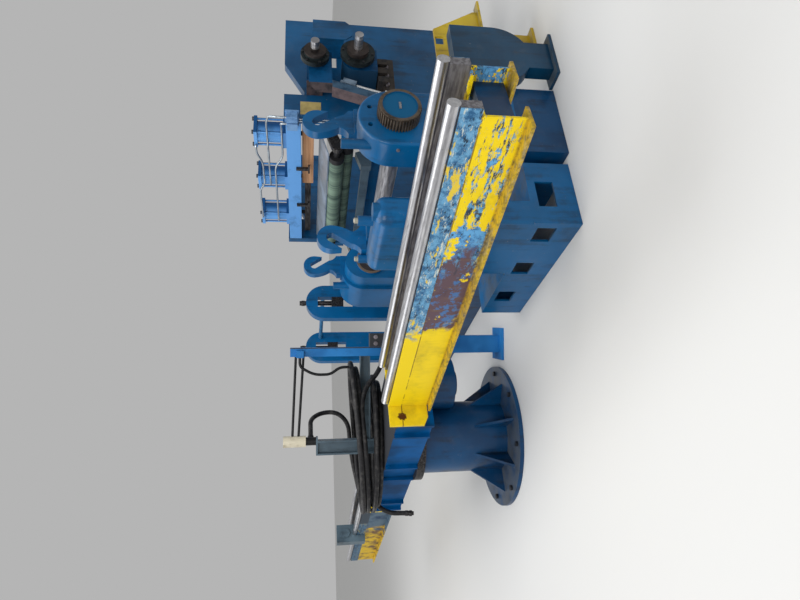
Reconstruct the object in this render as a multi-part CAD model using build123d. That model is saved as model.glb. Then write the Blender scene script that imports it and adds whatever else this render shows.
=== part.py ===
"""Coil slitting line: exit turnstile, slitter stand, tension stand and entry guide yokes.

The frame: millimetres, +Z up, the floor at z = 0, the origin under the turnstile's axis, and
+X along the arbor and the rolls. The turnstile's arms point a few degrees off X.
"""
from build123d import *
import math
import os

# Turnstile: arms, seen along their own axis from the turnstile's centre
ARM_ANGLE = 9.2
RAIL_TOP = 1100
RAIL_DIAMETER = 54
RAIL_SPACING = 276
RAIL_START = 940
RAIL_END = 3260
SEAT_WIDTH = 50
SEAT_HEIGHT = 85
SEAT_SETBACK = 5
RAIL_SINK = 4
CHANNEL_DEPTH = 195
CHANNEL_FLANGE_WIDTH = 75
CHANNEL_WEB = 10
CHANNEL_FLANGE = 14
CHANNEL_SETBACK = 35
FLANGE_PROUD = 45
ARM_FLANGE_START = 890
ARM_FLANGE_THICKNESS = 20
ARM_FLANGE_HALF_WIDTH = 306
ARM_FLANGE_BOTTOM = 790
ARM_FLANGE_TOP = 1050
ARM_FLANGE_CORNER = 60
TIE_POSITIONS = (1350, 1950, 2550, 3130)
TIE_WIDTH = 60
TIE_HEIGHT = 130

# Turnstile: hub, pedestal and slewing drive
HUB_TOP = 1000
HUB_BOTTOM = 750
HUB_HALF_WIDTH = 280
HUB_END_PLATE = 30
HUB_RIB_PLACES = (-700, -120, 120, 700)
HUB_RIB_THICKNESS = 25
RING_RADIUS = 330
RING_HEIGHT = 60
COLUMN_RADIUS = 280
FOOT_RADIUS = 560
FOOT_THICKNESS = 30
FOOT_BOLT_CIRCLE = 1000
FOOT_BOLT_COUNT = 8
FOOT_HOLE_RADIUS = 14
GUSSET_THICKNESS = 20
GUSSET_HEIGHT = 260
GUSSET_REACH = 180
SLEW_RADIUS = 200
SLEW_BOTTOM = 455
SLEW_ANGLE = 49.5
SLEW_FLANGE = 18

# Hose equipment on the turnstile, laid out along the boom
BOOM_ANGLE = 64.3
UNION_POST_WIDTH = 112
UNION_POST_DEPTH = 80
UNION_POST_WALL = 14
UNION_POST_INNER_END = 6
UNION_POST_TOP = 1500
UNION_BASE_RADIUS = 32
UNION_BASE_HEIGHT = 80
UNION_RADIUS = 44
UNION_HEIGHT = 175
UNION_OUTLET_ANGLE = 129.6
UNION_OUTLET_Z = 1555
UNION_OUTLET_REACH = 60
UNION_OUTLET_RADIUS = 24
BOOM_BOTTOM = 1085
BOOM_DEPTH = 80
BOOM_WIDTH = 60
BOOM_WALL = 8
MAST_DISTANCE = 704
MAST_SIZE = 70
MAST_TOP = 1715
MAST_FOOT_START = 685
MAST_FOOT_LENGTH = 140
MAST_FOOT_WIDTH = 120
MAST_FOOT_TOP = 800
MAST_BASE_PLATE = 20
MAST_BASE_MARGIN = 60
VALVE_START = 745
VALVE_LENGTH = 105
VALVE_SIDE = 30
VALVE_DEPTH = 88
VALVE_TOP = 1095
VALVE_PORT_LENGTH = 12
VALVE_PORT_Z = 982
MAST_FITTING_START = 662
MAST_FITTING_LENGTH = 55
MAST_FITTING_DEPTH = 42
MAST_FITTING_BOTTOM = 1610
MAST_FITTING_TOP = 1668
PIPE_RADIUS = 10
PIPE_HEIGHTS = ((1700, 1670), (1653, 1610))
MAST_HOSE_RADIUS = 11
MAST_HOSE_SIDE = -58
MAST_HOSE_ROUTE = ((662, 1640), (592, 1640), (528, 1530), (530, 1400), (585, 1330))

# The free hydraulic hoses: the lower coil with its hanging end, the upper loop with its two leads
HOSE_DIAMETER = 38
COIL_ANGLE = 62.8
COIL_SHORT_RADIUS = 380
COIL_BAND = 150
COIL_HEIGHT = 76
SEAT_GAP = 0.3
LOWER_COIL_CENTRE = (-98, -9)
LOWER_COIL_RADIUS = 570
UPPER_COIL_CENTRE = (-70, 44)
UPPER_COIL_RADIUS = 640
HOSE_BITE = 12
TAIL_START = (-331, -462)
TAIL_DIRECTION = 240
TAIL_RUNS = ((80, 0), (90, 20), (85, 40))
END_FITTING_RADIUS = 23
END_FITTING_LENGTH = 60
LEAD_RUNS = (150, 110)
LEAD_LEAN = 45
UNION_HOSE_RUNS = (185, 200)
UNION_HOSE_LEAN = 40

# Stop block on the rear arm
STOP_PLACE = 2260
STOP_THICKNESS = 120
STOP_WIDTH = 180
STOP_HEIGHT = 300
STOP_CLEARANCE = 0.3
STOP_BOSS_RADIUS = 45
STOP_BOSS_HEIGHT = 205
STOP_BOSS_PROUD = 15

# Slitter stand
ARBOR_Y = 1420
ARBOR_Z = 1045
ARBOR_RADIUS = 60
FRONT_BED_START = 880
FRONT_BED_END = 2055
FRONT_BED_Y = 697
FRONT_BED_WIDTH = 442
BED_HEIGHT = 295
BED_WALL = 16
WINDOW_PITCH = 395
WINDOW_WIDTH = 145
WINDOW_HEIGHT = 120
WINDOW_BOTTOM = 138
WINDOW_FIRST = 1932
WINDOW_COUNT = 3
END_OPENING = (120, 300, 130, 245)
GEARBOX_START = 1435
GEARBOX_DEPTH = 203
GEARBOX_BOTTOM = 1000
GEARBOX_TOP = 1210
GEARBOX_INSET = 4
GEARBOX_SIDE_ROUND = 80
GEARBOX_TOP_ROUND = 65
GEARBOX_STUD_INSET = 34
GEARBOX_STUD_RADIUS = 28
GEARBOX_STUD_RISE = 54
GEARBOX_NECK_INSET = 160
GEARBOX_NECK_RADIUS = 30
GEARBOX_NECK_RISE = 88
GEARBOX_DOME_INSET = 70
GEARBOX_DOME_RADIUS = 54
GEARBOX_DOME_RISE = 12
COLUMN_LENGTH = 602
COLUMN_DEPTH = 155
COLUMN_ROUND = 18
PEDESTAL_LENGTH = 190
PEDESTAL_MARGIN = 20
REAR_BED_START = -1560
REAR_BED_END = 2100
REAR_BED_Y = 1190
REAR_BED_WIDTH = 520
RIGHT_HOUSING_START = 1895
RIGHT_HOUSING_END = 2100
RIGHT_HOUSING_HALF_WIDTH = 215
RIGHT_HOUSING_TOP = 1290
LEFT_HOUSING_START = -100
LEFT_HOUSING_STEP = 245
LEFT_HOUSING_END = 400
LEFT_HOUSING_HALF_WIDTH = 185
LEFT_SNOUT_HALF_WIDTH = 160
LEFT_HOUSING_TOP = 1285
PAD_PROUD = 12
HOUSING_EDGE = 18
RUNNING_GAP = 0.05
BEARING_DISC_RADIUS = 125
BEARING_DISC_THICKNESS = 25
GEAR_RADIUS = 131
GEAR_ROOT_RADIUS = 119
GEAR_TEETH = 44
GEAR_FACE = 92
GEAR_START = 2106
GEAR_RIM_RADIUS = 126
GEAR_CAP_RADIUS = 106
GEAR_CAP_RECESS = 8
HOUSING_HOLE_RADIUS = 15
HOUSING_HOLE_DEPTH = 60
HOUSING_HOLE_SPACING = 139
HOUSING_HOLE_Z = 1215
PILLAR_RADIUS = 31
PILLAR_INSET = 44
PILLAR_TOP = 1388

# Hooks: one casting used three times, its outline as (across, up) from the middle of its foot
HOOK_RADIUS = 90
HOOK_CENTRE_HEIGHT = 224
HOOK_THICKNESS = 60
HOOK_FOOT_WIDTH = 190
HOOK_FOOT_HEIGHT = 34
HOOK_FLARE = 12
HOOK_NECK_LEFT = (-44, 92)
HOOK_NECK_RIGHT = (48, 96)
HOOK_MOUTH_SIDE = (-30, 212)
HOOK_MOUTH_TOP = (-8, 254)
HOOK_MOUTH_NOSE = (26, 244)
HOOK_TIP = (84, 158)
LEFT_HOOK_INSET = 280
RIGHT_HOOK_INSET = 20
FRONT_HOOK_X = 1465
LEFT_HOOK_Y = 1472
RIGHT_HOOK_Y = 1474
FRONT_HOOK_Y = 925

# Tension stand
STAND_Y = 2090
STAND_DEPTH = 1056
STAND_PLATE = 65
LEFT_FRAME_X = -355
RIGHT_FRAME_X = 1295
STAND_TOP = 1757
NOTCH_START = 230
NOTCH_END = 548
NOTCH_FLOOR = 1605
FRAME_WINDOW_START = 540
FRAME_WINDOW_LENGTH = 230
FRAME_WINDOW_BOTTOM = 1352
FRAME_WINDOW_TOP = 1416
NOTCH_SLOPE_START = 30
BEAM_BOTTOM = 1632
BEAM_TOP = 1745
BEAM_DEPTH = 230
BEAM_WALL = 12
CYLINDER_PLACES = (0, 532, 1065)
CYLINDER_RADIUS = 80
CYLINDER_HEIGHT = 198
CYLINDER_CAP_SIZE = 172
CYLINDER_CAP_HEIGHT = 26
TIE_ROD_RADIUS = 9
PISTON_ROD_RADIUS = 18
PAD_TRAVEL = 25
PAD_BAR_START = -250
PAD_BAR_END = 1255
PAD_BAR_DEPTH = 90
PAD_BAR_BOTTOM = 1548
PAD_BAR_TOP = 1600
PAD_BOARD_START = 530
PAD_BOARD_END = 1240
PAD_BOARD_THICKNESS = 28
PAD_BOARD_BOTTOM = 1530
PAD_BOARD_TOP = 1622
HANGER_PLACES = (280, 780)
HANGER_DEPTH = 22
HANGER_HALF_WIDTH = 12
HANGER_LUG_HALF_WIDTH = 45
HANGER_BOTTOM = 1560
HANGER_LUG_HEIGHT = 14
HANGER_OVERLAP = 40
TABLE_OFFSET = 160
TABLE_FRONT_Z = 1426
TABLE_SLOPE = 15.6
TABLE_LENGTH = 235
TABLE_STRIP = 60
TABLE_THICKNESS = 10
TABLE_START = -160
TABLE_END = 1150
ROLL_RADIUS = 58
UPPER_ROLL_OFFSET = 140
UPPER_ROLL_Z = 1355
LOWER_ROLL_OFFSET = 30
LOWER_ROLL_Z = 1275
ROLL_START = -50
UPPER_ROLL_END = 1060
LOWER_ROLL_END = 1150
ROLL_RING = 50
JOURNAL_RADIUS = 26
SWING_ARM_THICKNESS = 40
SWING_ARM_GAP = 75
SWING_PIVOT_OFFSET = 40
SWING_PIVOT_Z = 1418
SWING_PIVOT_RADIUS = 36
ROLL_BRACKET_WIDTH = 60
ROLL_BRACKET_HALF_HEIGHT = 50
ROLL_BRACKET_REACH = 100
CROSS_BEAM_Z = 975
CROSS_BEAM_HEIGHT = 105
CROSS_BEAM_OFFSET = 130
CROSS_BEAM_DEPTH = 200
GUIDE_BAR_START = -150
GUIDE_BAR_END = 1050
GUIDE_BAR_OFFSET = 220
GUIDE_BAR_Z = 1100
GUIDE_BAR_DEPTH = 50
GUIDE_BAR_HEIGHT = 60
SUPPORT_WIDTH = 60
SUPPORT_DROP = 10
SUPPORT_HEIGHT = 70
SUPPORT_SHOULDER = (120, 110)
SUPPORT_HEEL = 170
UPPER_SPINDLE_OFFSET = 330
UPPER_SPINDLE_Z = 1528
LOWER_SPINDLE_OFFSET = 350
LOWER_SPINDLE_Z = 1216
UPPER_FLANGE_RADIUS = 104
LOWER_FLANGE_RADIUS = 127
SPINDLE_FLANGE_THICKNESS = 35
SPINDLE_NECK_RADIUS = 80
SPINDLE_NECK_LENGTH = 35
SPINDLE_RADIUS = 31
SPINDLE_SHAFT_RADIUS = 36
SPINDLE_BACK_GAP = 15
UPPER_CHOCK_LEFT = 215
UPPER_CHOCK_RIGHT = 100
UPPER_CHOCK_DROP = 125
UPPER_CHOCK_RISE = 45
UPPER_CHOCK_DEPTH = 95
UPPER_CHOCK_SLOPE = (75, 62)
UPPER_NECK_LEFT = 100
UPPER_NECK_HALF_HEIGHT = 60
LOWER_CHOCK_HALF_WIDTH = 112
LOWER_CHOCK_DROP = 150
UPPER_CHOCK_END = 1600
LOWER_CHOCK_END = 1620
CHOCK_GAP = 34
UPPER_SPINDLE_END = 1785
LOWER_SPINDLE_END = 1842
SLANT_OFFSET = 78
SLANT_LENGTH = 395
SLANT_ANGLE = 18
SLANT_THICKNESS = 66
SLANT_WIDTH = 95
RAM_SIZE = 50
RAM_LENGTH = 100
RAM_STANDOFF = 30
RAM_ROD_RADIUS = 11
RAM_LUG_WIDTH = 40
RAM_LUG_LENGTH = 30
RAM_TOP_DROP = 30
SIDE_GUARD_X = 1695
SIDE_GUARD_SHEET = 8
SIDE_GUARD_OFFSET = 455
SIDE_GUARD_LENGTH = 195
SIDE_GUARD_BOTTOM = 1252
SIDE_GUARD_TOP = 1542
SIDE_GUARD_CORNER = 50
MANIFOLD_LENGTH = 170
MANIFOLD_OFFSET = 150
MANIFOLD_DEPTH = 320
MANIFOLD_BOTTOM = 930
MANIFOLD_HEIGHT = 80
MANIFOLD_VALVE_PITCH = 90
MANIFOLD_VALVE_SIZE = 56
MANIFOLD_VALVE_RISE = 48
MANIFOLD_VALVE_PROUD = 40
JUNCTION_PLATE = (-8, 138)
JUNCTION_PLATE_THICKNESS = 15
JUNCTION_PLATE_MARGIN = 12
JUNCTION_BLOCKS = ((-8, 58), (72, 132))
JUNCTION_REACH = 68
JUNCTION_BOTTOM = 1655
JUNCTION_TOP = 1735
TUBING_RADIUS = 8
TUBING_STANDOFF = 24
TUBE_PORT_SHIFT = 50
TOP_TUBE_DIP = (467, 552, 825, 933, 1939)
MIDDLE_TUBE_Z = 1889
LOW_TUBE_Z = 1842
LOW_TUBE_DROP = (781, 896, 1778)

# Drive guard and yellow bracket beside the stands
GUARD_X = 2115
GUARD_THICKNESS = 90
GUARD_Y = 1905
GUARD_Z = 395
GUARD_RADIUS = 238
GUARD_TOP = 672
GUARD_LEG_WIDTH = 230
BRACKET_X = 1985
BRACKET_THICKNESS = 16
BRACKET_Y = 2050
BRACKET_POST_WIDTH = 299
BRACKET_TOP = 720
BRACKET_REACH = 505
BRACKET_ARM_Z = 380
BRACKET_NOSE = 30
BRACKET_SLOT_START = 150
BRACKET_SLOT_LENGTH = 75
BRACKET_SLOT_BOTTOM = 656
BRACKET_SLOT_HEIGHT = 57
BRACKET_FOOT_PROUD = 45
BRACKET_FOOT_MARGIN = 30
BRACKET_FOOT_HEIGHT = 20
BRACKET_SHELF_PROUD = 30
BRACKET_SHELF_MARGIN = 85

# Entry guide yokes
YOKE_Y = 1400
YOKE_PLACES = (-1475, -385)
YOKE_HALF_WIDTH = 172
YOKE_TOP = 1590
YOKE_THICKNESS = 70
YOKE_SLOT_HALF_WIDTH = 52
YOKE_SLOT_BOTTOM = 1150
YOKE_SLOT_TOP = 1480
YOKE_CHOCK_HEIGHT = 110
YOKE_CHOCK_BOTTOM = 1240
SCREW_RADIUS = 22
SCREW_TOP = 1650
SCREW_HEAD_RADIUS = 26
SCREW_HEAD_GAP = 12
SCREW_HEAD_DROP = 18
TIE_BAR_Z = 1430
TIE_BAR_RADIUS = 20
TIE_BAR_OFFSET = 110

ARM_FRAME = Rot(0, 0, ARM_ANGLE)
REAR_FRAME = Rot(0, 0, ARM_ANGLE + 180)
BOOM_FRAME = Rot(0, 0, BOOM_ANGLE)
SEAT_TOP = RAIL_TOP - RAIL_DIAMETER + RAIL_SINK
CHANNEL_TOP = SEAT_TOP - SEAT_HEIGHT
CHANNEL_BOTTOM = CHANNEL_TOP - CHANNEL_DEPTH
ARM_START = ARM_FLANGE_START + ARM_FLANGE_THICKNESS
RAIL_Z = RAIL_TOP - RAIL_DIAMETER / 2
ARM_HALF_WIDTH = (RAIL_SPACING + SEAT_WIDTH) / 2
BOOM_TOP = BOOM_BOTTOM + BOOM_DEPTH
LOWER_COIL_BOTTOM = HUB_TOP + SEAT_GAP
LOWER_COIL_TOP = LOWER_COIL_BOTTOM + COIL_HEIGHT
VALVE_PORT = (VALVE_START - VALVE_PORT_LENGTH, -VALVE_SIDE - VALVE_DEPTH / 2 - 7, VALVE_PORT_Z)
LEFT_HOOK_X = LEFT_HOUSING_START + LEFT_HOOK_INSET
RIGHT_HOOK_X = RIGHT_HOUSING_START + RIGHT_HOOK_INSET
CYLINDER_Y = STAND_Y + BEAM_DEPTH / 2
TABLE_FRONT_Y = STAND_Y - TABLE_OFFSET
UPPER_ROLL_Y = STAND_Y - UPPER_ROLL_OFFSET
LOWER_ROLL_Y = STAND_Y - LOWER_ROLL_OFFSET
SWING_PIVOT_Y = STAND_Y + SWING_PIVOT_OFFSET
CROSS_BEAM_Y = STAND_Y - CROSS_BEAM_OFFSET
GUIDE_BAR_Y = STAND_Y - GUIDE_BAR_OFFSET
UPPER_SPINDLE_Y = STAND_Y + UPPER_SPINDLE_OFFSET
LOWER_SPINDLE_Y = STAND_Y + LOWER_SPINDLE_OFFSET
RIGHT_FRAME_FACE = RIGHT_FRAME_X + STAND_PLATE


def block(x0, x1, y0, y1, z0, z1):
    """A box between two opposite corners."""
    middle = Pos((x0 + x1) / 2, (y0 + y1) / 2, (z0 + z1) / 2)
    return middle * Box(x1 - x0, y1 - y0, z1 - z0)


def post(x, y, z0, z1, radius):
    """An upright cylinder."""
    return Pos(x, y, (z0 + z1) / 2) * Cylinder(radius, z1 - z0)


def shaft(x0, x1, y, z, radius):
    """A cylinder along X."""
    return Pos((x0 + x1) / 2, y, z) * Rot(0, 90, 0) * Cylinder(radius, x1 - x0)


def cross_plate(points, x0, x1):
    """A plate square to X, with its outline as (y, z) points."""
    outline = Plane.YZ.offset(x0) * make_face(Polyline(*points, close=True))
    return extrude(outline, x1 - x0, dir=(1, 0, 0))


def round_topped(y, half_width, z0, z1, x0, x1):
    """A casting with upright sides and a half-round top, square to X."""
    shoulder = z1 - half_width
    outline = Polyline((y + half_width, shoulder), (y + half_width, z0), (y - half_width, z0),
                       (y - half_width, shoulder))
    top = ThreePointArc((y - half_width, shoulder), (y, z1), (y + half_width, shoulder))
    return extrude(Plane.YZ.offset(x0) * make_face(outline + top), x1 - x0, dir=(1, 0, 0))


def tube(points, radius):
    """A round hose or pipe through the points, its corners rounded with the largest arcs that fit."""
    points = [Vector(*point) for point in points]
    arcs = []
    for before, corner, after in zip(points, points[1:], points[2:]):
        turn = math.radians((corner - before).get_angle(after - corner))
        shorter = min((corner - before).length, (after - corner).length)
        arcs.append(0.45 * shorter / math.tan(turn / 2))
    route = FilletPolyline(*points, radius=arcs) if arcs else Line(*points)
    start = Plane(origin=points[0], z_dir=points[1] - points[0])
    return sweep(start * Circle(radius), path=route)


def save(name, *solids):
    """Writes one sub-part. Like pieces share a file as solids of their own."""
    pieces = [solid for shape in solids for solid in shape.solids()]
    export_step(Compound(children=pieces) if len(pieces) > 1 else pieces[0], f"parts/{name}.step")


def arm_side(sign):
    """One side of an arm, in the arm's own frame: channel, seat bar and rail."""
    y = sign * RAIL_SPACING / 2
    outer = sign * ARM_HALF_WIDTH
    inner = sign * (ARM_HALF_WIDTH - CHANNEL_FLANGE_WIDTH)
    web_inner = sign * (ARM_HALF_WIDTH - CHANNEL_WEB)
    lip = sign * (ARM_HALF_WIDTH + FLANGE_PROUD)
    lip_z = CHANNEL_BOTTOM + CHANNEL_FLANGE
    end = RAIL_END - CHANNEL_SETBACK
    profile = [(lip, CHANNEL_BOTTOM), (lip, lip_z), (outer, lip_z), (outer, CHANNEL_TOP), (inner, CHANNEL_TOP),
               (inner, CHANNEL_TOP - CHANNEL_FLANGE), (web_inner, CHANNEL_TOP - CHANNEL_FLANGE),
               (web_inner, lip_z), (inner, lip_z), (inner, CHANNEL_BOTTOM)]
    channel = cross_plate(profile, ARM_START, end)
    rail = shaft(RAIL_START, RAIL_END, y, RAIL_Z, RAIL_DIAMETER / 2)
    seat = block(ARM_START, RAIL_END - SEAT_SETBACK, y - SEAT_WIDTH / 2, y + SEAT_WIDTH / 2,
                 CHANNEL_TOP, SEAT_TOP) - rail
    return channel, seat, rail


def arm_ties():
    """Cross members that hold the two channels of an arm apart."""
    reach = ARM_HALF_WIDTH - CHANNEL_WEB
    middle = CHANNEL_TOP - CHANNEL_DEPTH / 2
    return [block(s - TIE_WIDTH / 2, s + TIE_WIDTH / 2, -reach, reach,
                  middle - TIE_HEIGHT / 2, middle + TIE_HEIGHT / 2) for s in TIE_POSITIONS]


def arm_flange():
    """The bolting plate at an arm's inner end, with its lower corners cut off."""
    w, low, cut = ARM_FLANGE_HALF_WIDTH, ARM_FLANGE_BOTTOM, ARM_FLANGE_CORNER
    outline = [(-w, ARM_FLANGE_TOP), (-w, low + cut / 2), (-w + cut, low), (w - cut, low),
               (w, low + cut / 2), (w, ARM_FLANGE_TOP)]
    return cross_plate(outline, ARM_FLANGE_START, ARM_START)


def make_arms():
    """Both arms of the turnstile, each a pair of channels that carry polished rails."""
    frames = (ARM_FRAME, REAR_FRAME)
    sides = [arm_side(-1), arm_side(1)]
    save("front_arm_channels", *[ARM_FRAME * side[0] for side in sides])
    save("rear_arm_channels", *[REAR_FRAME * side[0] for side in sides])
    save("arm_seat_bars", *[frame * side[1] for frame in frames for side in sides])
    save("arm_rails", *[frame * side[2] for frame in frames for side in sides])
    save("arm_ties", *[frame * tie for frame in frames for tie in arm_ties()])
    save("arm_flanges", *[frame * arm_flange() for frame in frames])


def make_stop_block():
    """The block that sits over the near rail of the rear arm and keeps the coils on it."""
    y = RAIL_SPACING / 2
    body = block(STOP_PLACE - STOP_THICKNESS, STOP_PLACE, y - STOP_WIDTH / 2, y + STOP_WIDTH / 2,
                 CHANNEL_TOP, CHANNEL_TOP + STOP_HEIGHT)
    seat = SEAT_WIDTH / 2 + STOP_CLEARANCE
    body -= block(STOP_PLACE - 2 * STOP_THICKNESS, STOP_PLACE + STOP_THICKNESS, y - seat, y + seat,
                  CHANNEL_TOP, RAIL_Z)
    body -= shaft(STOP_PLACE - 2 * STOP_THICKNESS, STOP_PLACE + STOP_THICKNESS, y, RAIL_Z,
                  RAIL_DIAMETER / 2 + STOP_CLEARANCE)
    face = STOP_PLACE - STOP_THICKNESS
    boss = shaft(face - STOP_BOSS_PROUD, face, y, CHANNEL_TOP + STOP_BOSS_HEIGHT, STOP_BOSS_RADIUS)
    save("rail_stop_block", REAR_FRAME * (body + boss))


def make_hub():
    """The welded box hub between the arms, with its ribs and end plates."""
    length = ARM_FLANGE_START - HUB_END_PLATE
    hub = block(-length, length, -HUB_HALF_WIDTH, HUB_HALF_WIDTH, HUB_BOTTOM, HUB_TOP)
    for s in HUB_RIB_PLACES:
        hub += block(s - HUB_RIB_THICKNESS / 2, s + HUB_RIB_THICKNESS / 2, -ARM_FLANGE_HALF_WIDTH,
                     ARM_FLANGE_HALF_WIDTH, HUB_BOTTOM, HUB_TOP)
    for sign in (-1, 1):
        near, far = sorted((sign * length, sign * ARM_FLANGE_START))
        hub += block(near, far, -ARM_FLANGE_HALF_WIDTH, ARM_FLANGE_HALF_WIDTH, HUB_BOTTOM, HUB_TOP)
    save("turnstile_hub", ARM_FRAME * hub)


def make_pedestal():
    """The bolted foot, the round column with its gussets, and the slewing ring."""
    foot = post(0, 0, 0, FOOT_THICKNESS, FOOT_RADIUS)
    for k in range(FOOT_BOLT_COUNT):
        angle = math.radians(360 / FOOT_BOLT_COUNT * (k + 0.5))
        reach = FOOT_BOLT_CIRCLE / 2
        foot -= post(reach * math.cos(angle), reach * math.sin(angle), 0, FOOT_THICKNESS, FOOT_HOLE_RADIUS)
    save("turnstile_foot", foot)
    ring_bottom = HUB_BOTTOM - RING_HEIGHT
    column = post(0, 0, FOOT_THICKNESS, ring_bottom, COLUMN_RADIUS)
    gusset = Plane.XZ.offset(-GUSSET_THICKNESS / 2) * make_face(Polyline(
        (COLUMN_RADIUS - GUSSET_THICKNESS, FOOT_THICKNESS), (COLUMN_RADIUS + GUSSET_REACH, FOOT_THICKNESS),
        (COLUMN_RADIUS, FOOT_THICKNESS + GUSSET_HEIGHT),
        (COLUMN_RADIUS - GUSSET_THICKNESS, FOOT_THICKNESS + GUSSET_HEIGHT), close=True))
    gusset = extrude(gusset, GUSSET_THICKNESS, dir=(0, -1, 0))
    for k in range(FOOT_BOLT_COUNT):
        column += Rot(0, 0, 360 / FOOT_BOLT_COUNT * k) * gusset
    save("turnstile_column", column)
    save("slewing_ring", post(0, 0, ring_bottom, HUB_BOTTOM, RING_RADIUS))


def make_slew_drive():
    """The upright geared motor that turns the hub, flanged to the column's side."""
    reach = COLUMN_RADIUS + SLEW_RADIUS - SLEW_FLANGE
    angle = math.radians(SLEW_ANGLE)
    x, y = reach * math.cos(angle), reach * math.sin(angle)
    top = HUB_BOTTOM - RING_HEIGHT
    drum = post(x, y, SLEW_BOTTOM, top, SLEW_RADIUS)
    drum += post(x, y, SLEW_BOTTOM - 2 * SLEW_FLANGE, SLEW_BOTTOM, SLEW_RADIUS / 2)
    save("slew_drive", drum - post(0, 0, 0, top, COLUMN_RADIUS))


def union_body(bottom):
    """The space of the rotary union, which the pipes stop at."""
    return post(0, 0, bottom, bottom + UNION_BASE_HEIGHT + UNION_HEIGHT, UNION_RADIUS)


def make_hose_gear():
    """The post with its rotary union, the boom and the mast that hold the hoses."""
    inner = UNION_POST_INNER_END
    outer = inner - UNION_POST_WIDTH
    half = UNION_POST_DEPTH / 2
    upright = block(outer, inner, -half, half, HUB_TOP, UNION_POST_TOP)
    for sign in (-1, 1):
        low, high = sorted((sign * UNION_POST_WALL / 2, sign * half))
        upright -= block(outer + UNION_POST_WALL, inner - UNION_POST_WALL, low, high, HUB_TOP, UNION_POST_TOP)
    cap_top = UNION_POST_TOP + UNION_POST_WALL
    upright += block(outer, UNION_BASE_RADIUS, -half, half, UNION_POST_TOP, cap_top)
    save("union_post", BOOM_FRAME * upright)
    base_top = cap_top + UNION_BASE_HEIGHT
    union = post(0, 0, cap_top, base_top, UNION_BASE_RADIUS)
    union += post(0, 0, base_top, base_top + UNION_HEIGHT, UNION_RADIUS)
    outlet = shaft(0, UNION_OUTLET_REACH, 0, UNION_OUTLET_Z, UNION_OUTLET_RADIUS)
    save("rotary_union", union + Rot(0, 0, UNION_OUTLET_ANGLE) * outlet)
    mast_near = MAST_DISTANCE - MAST_SIZE / 2
    mast_far = MAST_DISTANCE + MAST_SIZE / 2
    side = BOOM_WIDTH / 2
    boom = block(inner, mast_near, -side, side, BOOM_BOTTOM, BOOM_TOP)
    boom -= block(inner, mast_near, -side, side - BOOM_WALL, BOOM_BOTTOM + BOOM_WALL, BOOM_TOP - BOOM_WALL)
    save("hose_boom", BOOM_FRAME * boom)
    foot_end = MAST_FOOT_START + MAST_FOOT_LENGTH
    upright = block(mast_near, mast_far, -MAST_SIZE / 2, MAST_SIZE / 2, MAST_FOOT_TOP, MAST_TOP)
    mast = upright + block(MAST_FOOT_START, foot_end, -MAST_FOOT_WIDTH / 2, MAST_FOOT_WIDTH / 2,
                           MAST_BASE_PLATE, MAST_FOOT_TOP)
    mast += block(MAST_FOOT_START - MAST_BASE_MARGIN, foot_end + MAST_BASE_MARGIN,
                  -MAST_FOOT_WIDTH / 2 - MAST_BASE_MARGIN, MAST_FOOT_WIDTH / 2 + MAST_BASE_MARGIN,
                  0, MAST_BASE_PLATE)
    mast += block(VALVE_START, VALVE_START + VALVE_LENGTH, -VALVE_SIDE - VALVE_DEPTH, -VALVE_SIDE,
                  MAST_FOOT_TOP - MAST_BASE_PLATE, VALVE_TOP)
    port_r, port_y, port_z = VALVE_PORT
    mast += shaft(port_r, VALVE_START, port_y, port_z, END_FITTING_RADIUS)
    mast += block(MAST_FITTING_START, MAST_FITTING_START + MAST_FITTING_LENGTH,
                  -MAST_SIZE / 2 - MAST_FITTING_DEPTH, -MAST_SIZE / 2, MAST_FITTING_BOTTOM, MAST_FITTING_TOP)
    save("hose_mast", BOOM_FRAME * mast)
    ends = union_body(cap_top) + upright
    pipes = [tube(((0, 0, low), (MAST_DISTANCE, 0, high)), PIPE_RADIUS) - ends for low, high in PIPE_HEIGHTS]
    route = [(r, MAST_HOSE_SIDE, z) for r, z in MAST_HOSE_ROUTE]
    route.append((route[-1][0], MAST_HOSE_SIDE, BOOM_TOP + COIL_HEIGHT - HOSE_BITE))
    mast_hose = BOOM_FRAME * tube(route, MAST_HOSE_RADIUS) - upper_loop()
    save("mast_pipes", *[BOOM_FRAME * pipe for pipe in pipes], mast_hose.solids().sort_by(Axis.Z)[-1])


def coil(long_radius):
    """A coil of loose hose as one closed oval ring, its underside at z = 0."""
    outer = extrude(Ellipse(long_radius, COIL_SHORT_RADIUS), COIL_HEIGHT)
    return outer - extrude(Ellipse(long_radius - COIL_BAND, COIL_SHORT_RADIUS - COIL_BAND), COIL_HEIGHT)


def boom_support():
    """How far along the upper loop its inner edge first meets a side of the boom."""
    angle = math.radians(COIL_ANGLE)
    drift = math.tan(math.radians(BOOM_ANGLE - COIL_ANGLE))
    x, y = UPPER_COIL_CENTRE
    start = -x * math.cos(angle) - y * math.sin(angle)
    middle = x * math.sin(angle) - y * math.cos(angle)
    inner_long, inner_short = UPPER_COIL_RADIUS - COIL_BAND, COIL_SHORT_RADIUS - COIL_BAND
    places = []
    for side in (middle - BOOM_WIDTH / 2, middle + BOOM_WIDTH / 2):
        reach = inner_long
        for _ in range(8):
            across = side + (reach - start) * drift
            reach = inner_long * math.sqrt(1 - (across / inner_short) ** 2)
        places.append(reach)
    return min(places)


def coil_support():
    """How far along the upper loop, the other way, the lower coil still reaches under it."""
    angle = math.radians(COIL_ANGLE)
    dx = LOWER_COIL_CENTRE[0] - UPPER_COIL_CENTRE[0]
    dy = LOWER_COIL_CENTRE[1] - UPPER_COIL_CENTRE[1]
    return min(LOWER_COIL_RADIUS - dx * math.cos(angle) - dy * math.sin(angle), UPPER_COIL_RADIUS)


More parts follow.
